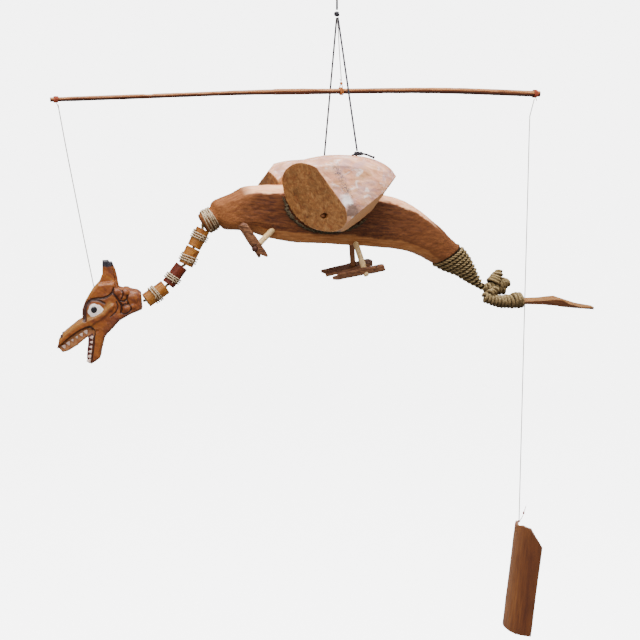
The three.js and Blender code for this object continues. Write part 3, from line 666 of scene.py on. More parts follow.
def fade(value, low, high):
    """0 below low and 1 above high."""
    return np.clip((value - low) / (high - low), 0, 1)


def band(value, low, high, soft):
    return fade(value, low - soft, low + soft) * (1 - fade(value, high - soft, high + soft))


def spin_z(points, angle):
    c, s = math.cos(angle), math.sin(angle)
    return points @ np.array([[c, s, 0], [-s, c, 0], [0, 0, 1]])


def spin_y(points, angle):
    c, s = math.cos(angle), math.sin(angle)
    return points @ np.array([[c, 0, -s], [0, 1, 0], [s, 0, c]])

# ---------------- cords
CORD_FOOT = {side: vec(4, side * WING_SPREAD, WING_KNOT_Z[side]) for side in (NEAR, FAR)}
HEAD_TIE = vec(-269.7, 9, -349)
PADDLE_TIE = vec(236, 0, -654.9)
STRING_KNOT = vec(5.3, 0, -134)
HEAD_STRING = [(-302, 0, -158.4), (-294.6, 2, -205), (-286.6, 4.2, -252), (-278.4, 6.6, -300), HEAD_TIE]
PADDLE_STRING = [
    (241.5, 0, -149.8), (238.4, 0, -152.5), (236.8, 0, -157), (236.3, 0, -170), (236.2, 0, -260),
    (236, 0, -400), (236, 0, -540), PADDLE_TIE,
]


def free_cord(node, look, radius, route, **knot):
    """A cord: one open spline along the node's own route; the knot passed in is not used."""
    path = spline(route, 24)
    data = bpy.data.curves.new(f"{node}_line", "CURVE")
    data.dimensions = "3D"
    data.bevel_depth = radius * MM
    data.bevel_resolution = 4
    data.use_fill_caps = True
    line = data.splines.new("POLY")
    line.points.add(len(path) - 1)
    line.points.foreach_set("co", np.column_stack([path * MM, np.ones(len(path))]).ravel())
    data.materials.append(LOOKS[look])
    obj = show(bpy.data.objects.new(f"{node}_line", data))
    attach(obj, "root")
    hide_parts(node)
    [c * MM for c in route[0]]
    run_of(path)[-1] * MM


def make_wing_knot(side):
    def at(x, y, z):
        return CORD_FOOT[side] + vec(x, side * y, z)

    knot = Piece(knot_turns(at(0.2, 0.2, -2.2), (2.7, 2.2, 2.3), 1.1))
    knot.add(knot_turns(at(3.4, 0.8, -2.2), (2.3, 1.8, 2.0), 1.0, 1.0))
    knot.add(rounded(spline([at(-1, 0, -2), at(-4, 0.8, -3.2), at(-6.8, 1.2, -4)], 12), 0.95, 10))
    tail = spline([at(3, 0.8, -2), at(9, 2.4, -3), at(15, 3.6, -5.4), at(18.4, 4.3, -6.6)], 40)
    run = np.linspace(0, 1, len(tail))
    knot.add(rounded(tail, 0.9 + 0.25 * np.abs(np.sin(run * 11)) + 0.8 * fade(run, 0.84, 0.95), 12))
    name = f"{SIDE_NAMES[side]}_wing_cord_knot"
    return knot.make(f"{name}_turns", "cord", "cord", name)


def make_cords():
    """Each knot is made before its cord."""
    top = Piece(knot_turns((0, 0, KNOT_Z), (2.3, 2.1, 2.6), 1.1), lump(vec(0, 0, KNOT_Z), vec(2.3, 2.2, 3.0)))
    top = top.make("top_knot_turns", "cord", "cord", "top_knot")
    wings = {side: make_wing_knot(side) for side in (NEAR, FAR)}
    copper = Piece(knot_turns(STRING_KNOT, (1.3, 1.2, 1.4), 0.6))
    tail = [STRING_KNOT, STRING_KNOT + vec(-1, -1, 3), STRING_KNOT + vec(-3, -1, 5)]
    copper.add(rounded(spline(tail, 8), 0.35, 8))
    copper = copper.make("stick_string_knot_turns", "copper_thread", "red_thread", "stick_string_knot")
    main = [(0, 0, -24.9), (0, 0, -40), (0, 0, -55.6)]
    free_cord("hanging_cord", "cord", MAIN_CORD_R, main, with_pieces=[top])
    for side in (NEAR, FAR):
        start = vec(0.4, side * 2.2, KNOT_Z - 3.9)
        end = CORD_FOOT[side] + vec(0, -side * 0.3, 0.8)
        route = [start, (start + end) / 2, end]
        free_cord(f"{SIDE_NAMES[side]}_wing_cord", "cord", WING_CORD_R, route, with_pieces=[wings[side]])
    short = [(0.4, 0, KNOT_Z - 4), (1.6, 0, -80), (3.6, 0, -110), STRING_KNOT + vec(0, 0, 2.4)]
    free_cord("stick_string", "string", STRING_R, short, with_pieces=[copper])
    free_cord("head_string", "string", STRING_R, HEAD_STRING)
    free_cord("paddle_string", "string", STRING_R, PADDLE_STRING)


def make_eye():
    """The hanging eye above the photo's edge: a loop of the main cord and its knot."""
    half = [vec(1.4, 0, -19.5), vec(4.4, 0, -12.5), vec(5, 0, -4.5)]
    route = [p * vec(-1, 1, 1) for p in half] + [vec(0, 0, MAIN_CORD_R)] + half[::-1]
    eye = Piece(*plied(spline(route, 140), MAIN_CORD_R, 3, 5, 8))
    eye.add(knot_turns((0, 0, -20.5), (2.5, 2.1, 3), 1.1), lump(vec(0, 0, -20.5), vec(2.6, 2.3, 3.4)))
    eye.make("hanging_eye_loop", "cord", "cord", "hanging_eye")


make_cords()
make_eye()

# ---------------- balance stick
STICK_ROUTE = [
    (-310, 0, -153.4), (-220, 0, -149.8), (-88, 0, -144.4), (5, 0, -142.6), (121, 0, -141), (248, 0, -143.8),
]
STICK_STEPS = 560
STICK_LINE = spline(STICK_ROUTE, STICK_STEPS)
STICK_WRAPS = {"left": 0.01, "right": 0.99}  # how far along the stick
STICK_MID = 0.565


def stick_radius(t):
    return (STICK_LEFT_R + (STICK_RIGHT_R - STICK_LEFT_R) * t) * (1 + 0.04 * np.sin(17 * t))


def stick_at(t):
    """The stick's place and direction, t of the way along it."""
    k = round(t * STICK_STEPS)
    return STICK_LINE[k], unit(STICK_LINE[k + 1] - STICK_LINE[k - 1])


def make_stick():
    stick = Piece(sweep(STICK_LINE, stick_radius(np.linspace(0, 1, STICK_STEPS + 1)), 28))
    obj = stick.make("balance_stick_wood", "stick_wood", "stick_wood", "balance_stick")
    points = places(obj)
    x = points[:, 0]
    height = 0.16 * grain(points, (16, 2, 2)) + 0.1 * grain(points, (60, 6, 6), 4)
    nick = band(x, -212, -204, 1.5) * (points[:, 2] > -150.6)
    step = 0.35 * fade(x, -74, -71) * (1 - fade(x, -40, -10))
    relief(obj, height - 0.5 * nick + step - 0.2)
    for label, where in STICK_WRAPS.items():
        place, along = stick_at(where)
        wrap = Piece(*winding(place, along, stick_radius(where) * 1.06, 0.45, 5, seed=where))
        tail = spline([place + vec(0, 0, -3.4), place + vec(1.5, -1, -6), place + vec(2, -1.4, -8.5)], 10)
        wrap.add(rounded(tail, 0.4, 8))
        wrap.make(f"stick_{label}_wrap_thread", "red_thread", "red_thread", f"stick_{label}_wrap")
    place, along = stick_at(STICK_MID)
    mid = Piece(*winding(place, along, stick_radius(STICK_MID) * 1.05, 0.55, 3, seed=3, loose=0.25))
    for dx in (-1.7, 1.7):
        foot = place + vec(dx, 0, 3.4)
        bend = (foot + STRING_KNOT) / 2 + vec(dx * 0.2, 0, 0)
        mid.add(rounded(spline([foot, bend, STRING_KNOT + vec(0, 0, -1)], 10), 0.5, 8))
    mid.make("stick_mid_wrap_thread", "copper_thread", "red_thread", "stick_mid_wrap")


make_stick()

# ---------------- wind paddle
PADDLE_OUTER = 33.5
PADDLE_WALL = 4.5
PADDLE_ANGLES = (math.radians(-195), math.radians(-87))
PADDLE_TOP = [(-35, 7.5), (-31, 9), (-27, 12), (-16, 12), (1.2, -7.3), (4, -10.4)]
PADDLE_FOOT = [(-35, -123), (-19, -123.6), (4, -121.8)]
PADDLE_TURN = math.radians(-27)
PADDLE_LEAN = math.radians(5.4)
PADDLE_HANG = vec(232, 0.5, -670.5)
HOLE_ANGLE = math.radians(-160)
HOLE_R = 1.6


def make_paddle():
    """A third of a thick bamboo pipe, one closed skin: outer face, foot, inner face, top."""
    rows = 90
    turn = np.linspace(0, math.pi, 5)
    edge = PADDLE_OUTER - PADDLE_WALL * (1 - np.cos(turn)) / 2
    outer = np.full(rows, PADDLE_OUTER)
    r = np.r_[outer, edge, outer - PADDLE_WALL, edge[::-1]]
    rings = []
    for a in np.linspace(*PADDLE_ANGLES, 64):
        x = PADDLE_OUTER * math.cos(a)
        top, foot = (np.interp(x, *zip(*line)) for line in (PADDLE_TOP, PADDLE_FOOT))
        down = np.linspace(top - 0.8, foot + 0.8, rows)
        z = np.r_[down, foot - 0.4 * np.sin(turn), down[::-1], top + 0.2 * np.sin(turn[::-1])]
        rings.append(np.column_stack([r * math.cos(a), r * math.sin(a), z]))
    hub = PADDLE_OUTER * vec(math.cos(HOLE_ANGLE), math.sin(HOLE_ANGLE), 0)
    paddle = Piece(skin(rings))
    paddle.put(lambda verts: spin_z(spin_y(verts - hub, PADDLE_LEAN), PADDLE_TURN) + PADDLE_HANG)
    obj = paddle.make("wind_paddle_bamboo", "paddle_bamboo", "paddle_bamboo", "wind_paddle")
    out = vec(math.cos(HOLE_ANGLE + PADDLE_TURN), math.sin(HOLE_ANGLE + PADDLE_TURN), 0)
    bore_out(obj, "paddle_bamboo", PADDLE_HANG - out * 12, PADDLE_HANG + out * 6, HOLE_R, 20)
    obj.data.shade_smooth()
    local = spin_y(spin_z(places(obj) - PADDLE_HANG, -PADDLE_TURN), -PADDLE_LEAN) + hub
    radial = np.hypot(local[:, 0], local[:, 1])
    round_pipe = np.degrees(np.arctan2(local[:, 1], local[:, 0])) % 360
    rough = grain(local, (2, 2, 40), 3)
    relief(obj, 0.25 * rough + 0.15 * grain(local, (5, 5, 30), 9) - 0.3)
    # Painted highlight: a pale sheen along the left rim, where the light falls; the inner face is made paler
    # too.
    left_rim = 0.8 * (1 - fade(round_pipe + 3 * grain(local, (3, 3, 12), 12), 171, 184))
    inner = 1 - fade(radial, PADDLE_OUTER - PADDLE_WALL, PADDLE_OUTER - 1)
    paint(obj, "rim", np.maximum(left_rim, 0.45 * inner))
    # Painted shade over the right part of the pipe, turned from the light.
    paint(obj, "stain", fade(round_pipe + 8 * rough, 200, 250))


def make_paddle_knot():
    def thread(points, radius):
        return rounded(spline([PADDLE_TIE + vec(*p) for p in points], 30), radius, 8)

    knot = Piece(knot_turns(PADDLE_TIE + vec(0, 0, -1.9), (1.2, 1.2, 1.3), 0.6))
    knot.add(thread([(-0.9, 0, -1.9), (-4.1, 0.1, -4.7), (-5.1, 0.4, -9.6), (-5.5, 0.6, -14.4)], 0.5))
    knot.add(thread([(0.6, -0.8, -1.6), (3.4, -1.3, 3), (5.6, -1, 8.4), (8.8, -0.6, 17)], 0.4))
    knot.add(lump(PADDLE_TIE + vec(5.5, -1, 8.2), vec(1.1, 1.1, 2)))
    knot.make("paddle_knot_thread", "red_thread", "red_thread", "paddle_knot")


make_paddle()
make_paddle_knot()

# ---------------- body
NECK_PLACE = vec(-144.8, 0, -280.5)
NECK_AXIS = unit(vec(-0.87, 0, -0.49))
NECK_R = 10.8


def neck_rib(along):
    """A round rib across the neck, this far towards the head from the middle of its wrap."""
    centre = NECK_PLACE + NECK_AXIS * along
    up = vec(NECK_AXIS[2], 0, -NECK_AXIS[0]) * NECK_R
    return (centre[0] + up[0], centre[2] + up[2], centre[0] - up[0], centre[2] - up[2], NECK_R, 1)


# Each rib: x and z of its top, x and z of its bottom, half width, how round it is.
BODY_RIBS = [
    neck_rib(7.5),
    neck_rib(-6.8),
    (-141, -261.5, -129, -290, 14, 0.7),
    (-131, -256.5, -122, -291, 17.5, 0.35),
    (-118, -251.5, -113, -291.5, 20, 0.1),
    (-105, -245.5, -100, -293.5, 21.5, 0),
    (-86, -244.4, -84, -299.5, 22.6, 0),
    (-60, -244.6, -60, -305, BODY_HALF_WIDTH, 0),
    (-20, -245.6, -20, -309, BODY_HALF_WIDTH, 0),
    (20, -249, 20, -312, BODY_HALF_WIDTH, 0),
    (52, -256, 50, -315, BODY_HALF_WIDTH, 0),
    (78, -264, 71, -318, 22.2, 0),
    (100, -277, 88, -322, 20.5, 0),
    (120, -292.5, 101, -327, 18.5, 0.2),
    (135, -306, 110, -332, 16.5, 0.4),
    (148, -317, 117.5, -336, 15, 0.6),
]
HALF_SECTION = [
    (0, 1), (0.42, 0.97), (0.8, 0.84), (0.96, 0.68), (1, 0.3), (1, -0.5), (0.93, -0.68), (0.62, -0.96),
    (0.25, -1),
]
RIND_FROM = 0.7  # height on the section above which the stalk keeps its pale rind
FACET_BELOW = -0.62  # and below which the bevel cut shows


def make_body():
    outline = HALF_SECTION + [(-a, h) for a, h in HALF_SECTION[:0:-1]]
    section = smoothed_ring(np.array(outline + outline[:1], float), 132)
    size = np.hypot(section[:, 0], section[:, 1])
    rings = []
    heights = []
    for top_x, top_z, low_x, low_z, half, roundness in spline(BODY_RIBS, 230):
        centre = vec(top_x + low_x, 0, top_z + low_z) / 2
        up = vec(top_x - low_x, 0, top_z - low_z) / 2
        ease = (1 + (1 / size - 1) * np.clip(roundness, 0, 1))[:, None] * section
        rings.append(centre + ease[:, 1:] * up + ease[:, :1] * vec(0, half, 0))
        heights.append(ease[:, 1])
    obj = Piece(skin(rings)).make("body_stalk_block", "body_stalk", "body_stalk", "body")
    points = places(obj)
    x = points[:, 0]
    height = np.r_[np.concatenate(heights), 0, 0] + 0.05 * grain(points, (14, 6, 6), 2)
    rind = fade(height, RIND_FROM, RIND_FROM + 0.05) * fade(x, -112, -100) * (1 - fade(x, 98, 118))
    facet = (1 - fade(height, FACET_BELOW - 0.06, FACET_BELOW)) * fade(x, -104, -86)
    facet *= 1 - 0.8 * fade(x, 104, 125)
    mottle = x + 14 * grain(points, (30, 12, 12), 5)
    paint(obj, "rind", rind)
    paint(obj, "facet", facet)
    paint(obj, "warm", 1 - fade(mottle, -118, -92) + 0.42 * fade(mottle, 45, 105))
    paint(obj, "grey", fade(x, 60, 100) * rind)
    fibre = grain(points, (16, 1.5, 1.5), 7, 4)
    bare = 1 - np.maximum(rind, 0.5 * facet)
    relief(obj, 0.55 * grain(points, (40, 12, 12), 11) + fibre * (0.12 + 0.45 * bare) - 0.35)


make_body()

# ---------------- legs
# Each peg's place in the body, its far end and its look.
LEGS = {
    "front_near": (vec(-80, -19.5, -291.5), vec(-108, -45.5, -309.5), "peg_wood"),
    "front_far": (vec(-92, 20.5, -276), vec(-98, 47, -278), "peg_wood"),
    "rear_near": (vec(17.5, -15, -309), vec(23.4, -34.5, -343.5), "peg_wood"),
    "rear_far": (vec(23, 15, -309), vec(32, 33.5, -346), "dark_peg_wood"),
}
PEG_DEPTH = 7
FOOT_VOXEL = 0.5


def copy_node(name, node, look):
    """A piece that starts from a node's own solid, to be worked over."""
    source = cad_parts[node]
    obj = show(bpy.data.objects.new(name, source.data.copy()))
    obj.matrix_world = source.matrix_world
    obj.data.materials.clear()
    obj.data.materials.append(LOOKS[look])
    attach(obj, "root")
    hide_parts(node)
    return obj


def make_leg(label, hip, end, peg_look):
    start = hip - unit(end - hip) * PEG_DEPTH
    taper = np.linspace(1.02, 0.97, 41)
    taper[-3:] -= (0.02, 0.06, 0.16)
    peg = Piece(sweep(resample(np.array([start, end]), 40), PEG_R * taper, 28))
    peg = peg.make(f"{label}_peg_rod", peg_look, "peg_wood", f"{label}_peg")
    relief(peg, 0.12 * grain(places(peg), (2, 2, 14), np.linalg.norm(end - start)) - 0.06)
    if label == "front_near":
        paint(peg, "tip", 1 - fade(np.linalg.norm(places(peg) - end, axis=1), 5, 6.5))
    foot = copy_node(f"{label}_foot_block", f"{label}_foot", "foot_wood")
    remesh(foot, FOOT_VOXEL, 2)
    points = places(foot)
    relief(foot, 0.18 * grain(points, (14, 1.6, 1.6), 3) + 0.3 * grain(points, (16, 8, 8), 8) - 0.1)
    paint(foot, "worn", fade(grain(points, (9, 2.5, 2.5), 13), 0.25, 0.7))


for leg, facts in LEGS.items():
    make_leg(leg, *facts)

# ---------------- wings
WING_POWER = 2.4
WING_SWEEP = 0.26
WING_VOXEL = 0.75
WING_GAP = 0.35  # left to the body's flank and round the pin
# Planes are worked out on the far side and mirrored for the near wing: cuts show the pith, pared ones don't.
WINGS = {
    NEAR: {
        "centre": vec(-15, 49.5, -251.5),
        "size": vec(70, 37, 41),
        "cuts": [
            (vec(-0.745, 0.535, -0.4), 166.5), (vec(0.571, 0.375, -0.731), 227.4),
            (vec(0.757, 0.324, -0.567), 187.7),
        ],
        "pared": (vec(-0.041, 0.981, 0.186), 35.7),
        "pin_end": 56.3,
    },
    FAR: {
        "centre": vec(-17, 49.5, -259),
        "size": vec(68, 37, 41),
        "cuts": [(vec(-0.926, -0.195, -0.325), 130), (vec(0.628, 0.091, -0.773), 225.3)],
        "pared": (vec(-0.752, 0.232, 0.617), -82),
        "pin_end": 80,
    },
}
PIN_X, PIN_Z = -33.3, -274.5
FLANK = (vec(0, -1, 0), -(BODY_HALF_WIDTH + WING_GAP))
FAR_FACET = (vec(0.641, -0.218, -0.736), 132)  # beyond this plane the far wing's front is cut to the pith


def paint_marks(obj, points, side):
    """The near wing's blotches, streak, white patch and brown smear; the far one has a faint streak."""
    x, y, z = points.T
    near = side == NEAR
    line = x + 29 + (z + 220) * 0.42 + 3 * grain(points, (9, 9, 9), 23)
    streak = band(line, -3.5, 4.5, 2) * band(z, -272, -219, 3) * (1 if near else 0.3)
    spot = np.hypot(x + 17.5, z + 257.5) + 3 * grain(points, (5, 5, 5), 27)
    smear = np.hypot(x + 11, z + 268) + 4 * grain(points, (6, 6, 6), 31)
    paint(obj, "marks", streak * (y > 60))
    paint(obj, "white", (1 - fade(spot, 4, 8)) * near * (y > 50) * 0.9)
    paint(obj, "brown", (1 - fade(smear, 5, 8)) * near * (y > 45))


def make_wing(side):
    label = SIDE_NAMES[side]
    centre, size, cuts, pared, pin_end = WINGS[side].values()
    verts, faces = lump(centre, size, 150, 90, WING_POWER, 0.03)
    verts[:, 0] -= WING_SWEEP * (verts[:, 1] - centre[1])
    obj = Piece((verts, faces)).make(f"{label}_wing_chunk", "wing_stalk", "wing_stalk", f"{label}_wing")
    rework(obj, FLANK, *cuts, pared)
    bore_out(obj, "wing_stalk", vec(PIN_X, 20, PIN_Z), vec(PIN_X, 130, PIN_Z), PIN_R + WING_GAP, 28)
    remesh(obj, WING_VOXEL, 1)
    points = places(obj)
    facing = normals(obj)
    x, y, z = points.T
    cut = (np.hypot(x - PIN_X, z - PIN_Z) < PIN_R + 0.9).astype(float)
    for normal, distance in cuts:
        out = unit(normal)
        cut = np.maximum(cut, (1 - fade(distance - points @ out, 0.5, 1.0)) * (facing @ out > 0.5))
    height = (1 - cut) * (0.5 * grain(points, (26, 9, 9), 3) + 0.1 * grain(points, (5, 2, 2), 6))
    height += cut * (0.35 * grain(points, (3, 3, 3), 9, 4) + 0.5 * grain(points, (18, 18, 18), 1))
    low = (centre[2] - z) / size[2]
    outer = np.linalg.norm((points - centre) / size, axis=1) > 0.6
    bark = fade(low + 0.25 * grain(points, (6, 6, 6), 15), 0.5, 0.62) * (1 - cut) * outer
    bark *= 1 - fade(y, 60, 72)
    height += bark * 0.9 * grain(points, (3, 3, 2), 19)
    relief(obj, np.clip(height, -1.0, 0.9) - 0.3)
    if side == FAR:
        cut = np.maximum(cut, fade(points @ FAR_FACET[0] - FAR_FACET[1], 0, 0.8) * (x < -32))
    paint(obj, "cut", cut)
    # Painted light: cut faces that look downward are lightened on the near wing.
    paint(obj, "under", 0.5 * fade(-facing[:, 2], 0.5, 0.7) * (side == NEAR))
    paint(obj, "bark", bark)
    paint_marks(obj, points, side)
    if side == NEAR:
        obj.data.vertices.foreach_set("co", (places(obj) * vec(1, -1, 1) * MM).ravel())
        obj.data.flip_normals()
    obj.data.update()
    line = resample(vec([PIN_X, side * 12, PIN_Z], [PIN_X, side * pin_end, PIN_Z]), 30)
    dowel = Piece(rounded(line, PIN_R, 24))
    dowel = dowel.make(f"{label}_wing_pin_dowel", "dark_peg_wood", "peg_wood", f"{label}_wing_pin")
    relief(dowel, 0.08 * grain(places(dowel), (2, 8, 2), 3) - 0.04)


BARK_ROUTE = [
    vec(-66, -25, -263), vec(-63.5, -25, -272), vec(-57, -25, -280.5), vec(-47, -25, -288),
    vec(-35, -25, -293), vec(-22, -25, -295), vec(-5, -25, -294.6), vec(9, -25, -291.6),
    vec(18.5, -25, -287), vec(25.5, -25, -281.5),
]
FAR_BARK_DROP = 7.4
BARK_STRIPS = 190


def make_bark_fringe(side):
    """Frayed sheath left under the wing's lower rim: torn strips lying along it."""
    drop = vec(0, 0, 0 if side == NEAR else -FAR_BARK_DROP)
    path = spline([p * vec(1, -side, 1) + drop for p in BARK_ROUTE], 150)
    middle = path.mean(axis=0)
    t = np.linspace(0, 1, len(path))
    heavy = 1 + 1.5 * np.exp(-(((t - 0.08) / 0.12) ** 2))
    core = (1.3 + 1.1 * grain(path, (4, 4, 4), 3)) * np.sqrt(heavy)
    fringe = Piece(rounded(path, np.clip(core, 0.5, 2.4), 10, 0.7))
    chance = np.random.default_rng(11 + side)
    for _ in range(BARK_STRIPS):
        k = int(chance.integers(1, len(path) - 1))
        out = unit((path[k] - middle) * vec(1, 0, 1.6))
        along = unit(path[k + 1] - path[k - 1]) * chance.choice((-1, 1))
        length = chance.uniform(2.5, 9)
        lift = chance.uniform(0.2, 2.2) * heavy[k]
        start = path[k] + out * chance.uniform(-1.6, 0.6) + vec(0, side * chance.uniform(-0.6, 1.2), 0)
        tip = start + along * length + out * lift * chance.uniform(0.4, 1.8)
        bend = (start + tip) / 2 + out * chance.uniform(-0.6, 0.9)
        width = chance.uniform(0.45, 1.0)
        fringe.add(rounded(spline([start, bend, tip], 7), np.linspace(width, width * 0.3, 8), 6, 0.5))
    obj = fringe.make(f"{SIDE_NAMES[side]}_wing_bark_fringe", "bark", "wing_stalk")
    relief(obj, 0.35 * grain(places(obj), (1.6, 1.6, 1.6), 8))


for make in (make_wing, make_bark_fringe):
    make(NEAR)
    make(FAR)

# ---------------- neck
# Each bead, from the head up: its two ends, radius, how far along it is wrapped, and its look.
NECK_BEADS = [
    (vec(-215.6, 0, -365.2), vec(-194.4, 0, -351.4), 8.2, 0.48, "light_bead_wood"),
    (vec(-191.4, 0, -348.8), vec(-176.1, 0, -329.4), 7.4, 0.33, "dark_bead_wood"),
    (vec(-172, 0, -328.2), vec(-163, 0, -310.2), 8.2, 0.36, "light_bead_wood"),
    (vec(-162.6, 0, -309.4), vec(-151.8, 0, -290.6), 7.8, 0.62, "light_bead_wood"),
]
BEAD_BORE_R = 3.4
BEAD_RIM = 0.9
BEAD_SIDES = 56
NECK_CORD_R = 1.5
NECK_CORD_ROOT = vec(46.4, 0, 14.6)  # in the head frame


def bead_shape(start, end, radius, seed):
    """A short length of stick, not quite round, with rounded rims and a bore along it."""
    axis = unit(end - start)
    side = unit(np.cross(axis, vec(0, 1, 0.01)))
    over = np.cross(axis, side)
    length = np.linalg.norm(end - start)
    wall = radius - BEAD_RIM
    quarter = np.linspace(0, math.pi / 2, 5)
    rim = [(BEAD_RIM * (1 - math.cos(a)), wall + BEAD_RIM * math.sin(a)) for a in quarter]
    outside = rim + [(d, radius - 0.1) for d in np.linspace(1.3, length - 1.3, 14)]
    outside += [(length - d, r) for d, r in rim[::-1]]
    bore = [(length - 0.6, BEAD_BORE_R), (length * 0.5, BEAD_BORE_R), (0.6, BEAD_BORE_R)]
    rings = []
    for along, size in outside + bore + outside[:1]:
        ring = []
        for a in around(BEAD_SIDES):
            bulge = 1 + 0.03 * noise.noise((2 * math.cos(a), 2 * math.sin(a), along / 9 + seed * 7))
            ring.append(start + axis * along + size * bulge * (math.cos(a) * side + math.sin(a) * over))
        rings.append(ring)
    verts, faces = skin(rings)
    count = len(rings) * BEAD_SIDES
    return verts[:count], [face for face in faces if max(face) < count]


def make_bead(number, start, end, radius, wrap_at, look):
    bead = Piece(bead_shape(start, end, radius, number))
    bead = bead.make(f"neck_bead_{number}_wood", look, look, f"neck_bead_{number}")
    points = places(bead)
    relief(bead, 0.2 * grain(points, (7, 7, 7), number) + 0.06 * grain(points, (1.6, 1.6, 1.6), number) - 0.1)
    axis = unit(end - start)
    place = start + (end - start) * wrap_at
    wrap = Piece(*winding(place, axis, radius + 0.2, 0.9, 3.2, 2, number, 0.3, 2.7))
    for swing in (0.4, -0.3):
        hang = place + vec(3 * swing, -radius - 1.1, 1)
        tail = [hang, hang + vec(2 * swing, -0.6, -3), hang + vec(5 * swing, -0.2, -5.5)]
        wrap.add(rounded(spline(tail, 10), 0.5, 6))
    wrap.make(f"neck_wrap_{number}_raffia", "raffia", "raffia", f"neck_wrap_{number}")
    # A dark sleeve under the wrap: painted shade between its turns.
    shadow = Piece(rounded([place - axis * 2.6, place + axis * 2.6], radius + 0.45, 40))
    shadow.make(f"neck_wrap_{number}_shadow", "rope_bed_shade", "raffia")


def make_neck():
    route = [head_frame(NECK_CORD_ROOT[None])[0]]
    for number, bead in enumerate(NECK_BEADS, 1):
        make_bead(number, *bead)
        start, end = bead[:2]
        route += [start + (end - start) * 0.1, end + (start - end) * 0.1]
    wrap = Piece(*winding(NECK_PLACE, -NECK_AXIS, NECK_R * 1.03, 1.05, 4.6, 2, 7, 0.2, 2.4))
    askew = unit(NECK_AXIS + vec(0.06, 0.2, 0.1))
    wrap.add(*winding(NECK_PLACE, askew, NECK_R * 1.1, 0.95, 3.4, 2, 3, 0.5, 2.9))
    wrap.make("neck_end_wrap_raffia", "raffia", "raffia", "neck_end_wrap")
    cord = Piece(*plied(spline([*route, NECK_PLACE + NECK_AXIS * 9.2], 220), NECK_CORD_R, 3, 6, 8))
    cord.make("neck_cord_plies", "rope", "rope", "neck_cord")


# ---------------- head
# Head frame: x back from the eye's back corner, z up, y across; near side negative.
# Each layer: half its width, the bevel of its rims, and its outline in the side view.
HEAD_LAYERS = {
    "skull": (14, 2.4, [
        (-1, 36), (-7, 29.5), (-14.3, 18), (-18, 8.5), (-18.3, -2), (-12, -14), (4, -18), (10, -17.5),
        (22, -5), (34, 1.8), (45.7, 6.4), (44.5, 23.5), (40.7, 26.7), (19.4, 30.4), (17.7, 37.7),
    ]),
    "horn": (3.6, 1.6, [(-6, 24), (3.5, 45), (3.8, 60.4), (11, 60.4), (14.6, 52), (19, 30), (10, 20)]),
    "jaw_band": (16, 2.2, [
        (-18, -2.5), (-25, -6.4), (-37.4, -16), (-42.7, -21.9), (-45.2, -34.1), (-41.5, -31.6), (-30, -21.9),
        (-18.5, -14.5), (-6.9, -10.3), (5.5, -2), (16.5, 7.5), (18.4, 11.6), (16, 15.4), (11.8, 14.6),
        (2.9, 6.8), (-6.9, 1),
    ]),
    "palate": (10, 1.5, [
        (-22, -8), (-40, -24), (-44, -33.5), (-39.8, -38.9), (-33.3, -37.3), (-23.3, -30.9), (-12.7, -22.4),
        (-4, -19), (-4, -10),
    ]),
    "lower_jaw": (14, 2.2, [
        (-6.5, -16), (-10.6, -52), (0.4, -44.8), (1.3, -38.2), (3.8, -29.1), (5.4, -23.5), (10.5, -16),
        (6, -8),
    ]),
    "tongue_side": (10.5, 1.2, [(-8, -18), (-12.5, -21), (-15, -43.7), (-13.5, -50.6), (-9, -50), (-4, -20)]),
}
HEAD_TRIM = 0.4
HEAD_VOXEL = 0.5
HORN_SPREAD = 4.6
FAR_HORN_BACK = 3.2
EYE_X, EYE_Z = -3.2, 6.6
EYE_LENGTH, EYE_HEIGHT, EYE_BULGE = 9.6, 9.0, 2.0
# Carved lines on each cheek: route in the head frame, half width and depth of the cut.
HEAD_GROOVES = {
    "lid_front": ([(-15, -3), (-15.2, 5), (-13.4, 12.6), (-10.4, 16.4)], 2.3, 1.2),
    "lid_top": ([(-11, 16), (-6.5, 18.2), (0, 17.6), (6, 14.6)], 1.3, 1.1),
    "brow": ([(-7.4, 18.8), (-2, 19.8), (5, 20.2), (11, 22.6), (15.6, 27)], 1.3, 1.3),
    "scale_edge": ([(16.3, 31), (15, 25.7), (18.4, 21.4), (21.1, 17.1), (23.8, 11.4), (23.1, 4.2)], 1.1, 1.6),
    "scale_upper": ([(23.8, 30), (25.8, 24.3), (23.8, 18.6)], 0.9, 1.2),
    "scale_middle": ([(21.1, 17.1), (26, 16.6), (29.2, 18.6), (30.6, 22.9)], 0.9, 1.2),
    "scale_lower": ([(23.8, 11.4), (28, 13.2), (32, 12.8), (34, 7.8), (27.9, 2.8), (23.1, 4.2)], 0.8, 1.2),
    "scale_link": ([(29.2, 18.6), (32, 12.8)], 0.8, 1.0),
    "cheek": ([(18.6, 16), (20, 11), (17.5, 5), (12, 0)], 0.7, 0.9),
    "mouth": (
        [(-44.5, -33), (-41, -30.5), (-30, -21.2), (-18.5, -13.8), (-9, -11), (-6, -15), (-5.5, -19)],
        1.4, 1.3,
    ),
    "jaw": ([(-5.5, -18), (-6.6, -30), (-8, -40), (-10.2, -50)], 1.1, 0.9),
}
# Edges painted a paler tone.
SNOUT_EDGE = [(-43, -23), (-37.4, -17.5), (-25, -8.5), (-12, -1.5), (2.5, 5), (12, 13.6)]
HORN_EDGE = [(-13.5, 19), (-6, 29.5), (1.5, 41), (3.6, 53)]
# Each scale behind the cheek: x, z and size.
SCALES = [
    (19.5, 25.5, 5.5), (27.5, 25, 5.5), (25, 20.5, 4.6), (27, 14.6, 4.2), (36, 19, 8), (29, 8, 5.6),
    (36, 11, 5),
]


def head_frame(points):
    return spin_z(points, HEAD_YAW) + HEAD_ORIGIN


def in_head(points):
    return spin_z(points - HEAD_ORIGIN, -HEAD_YAW)


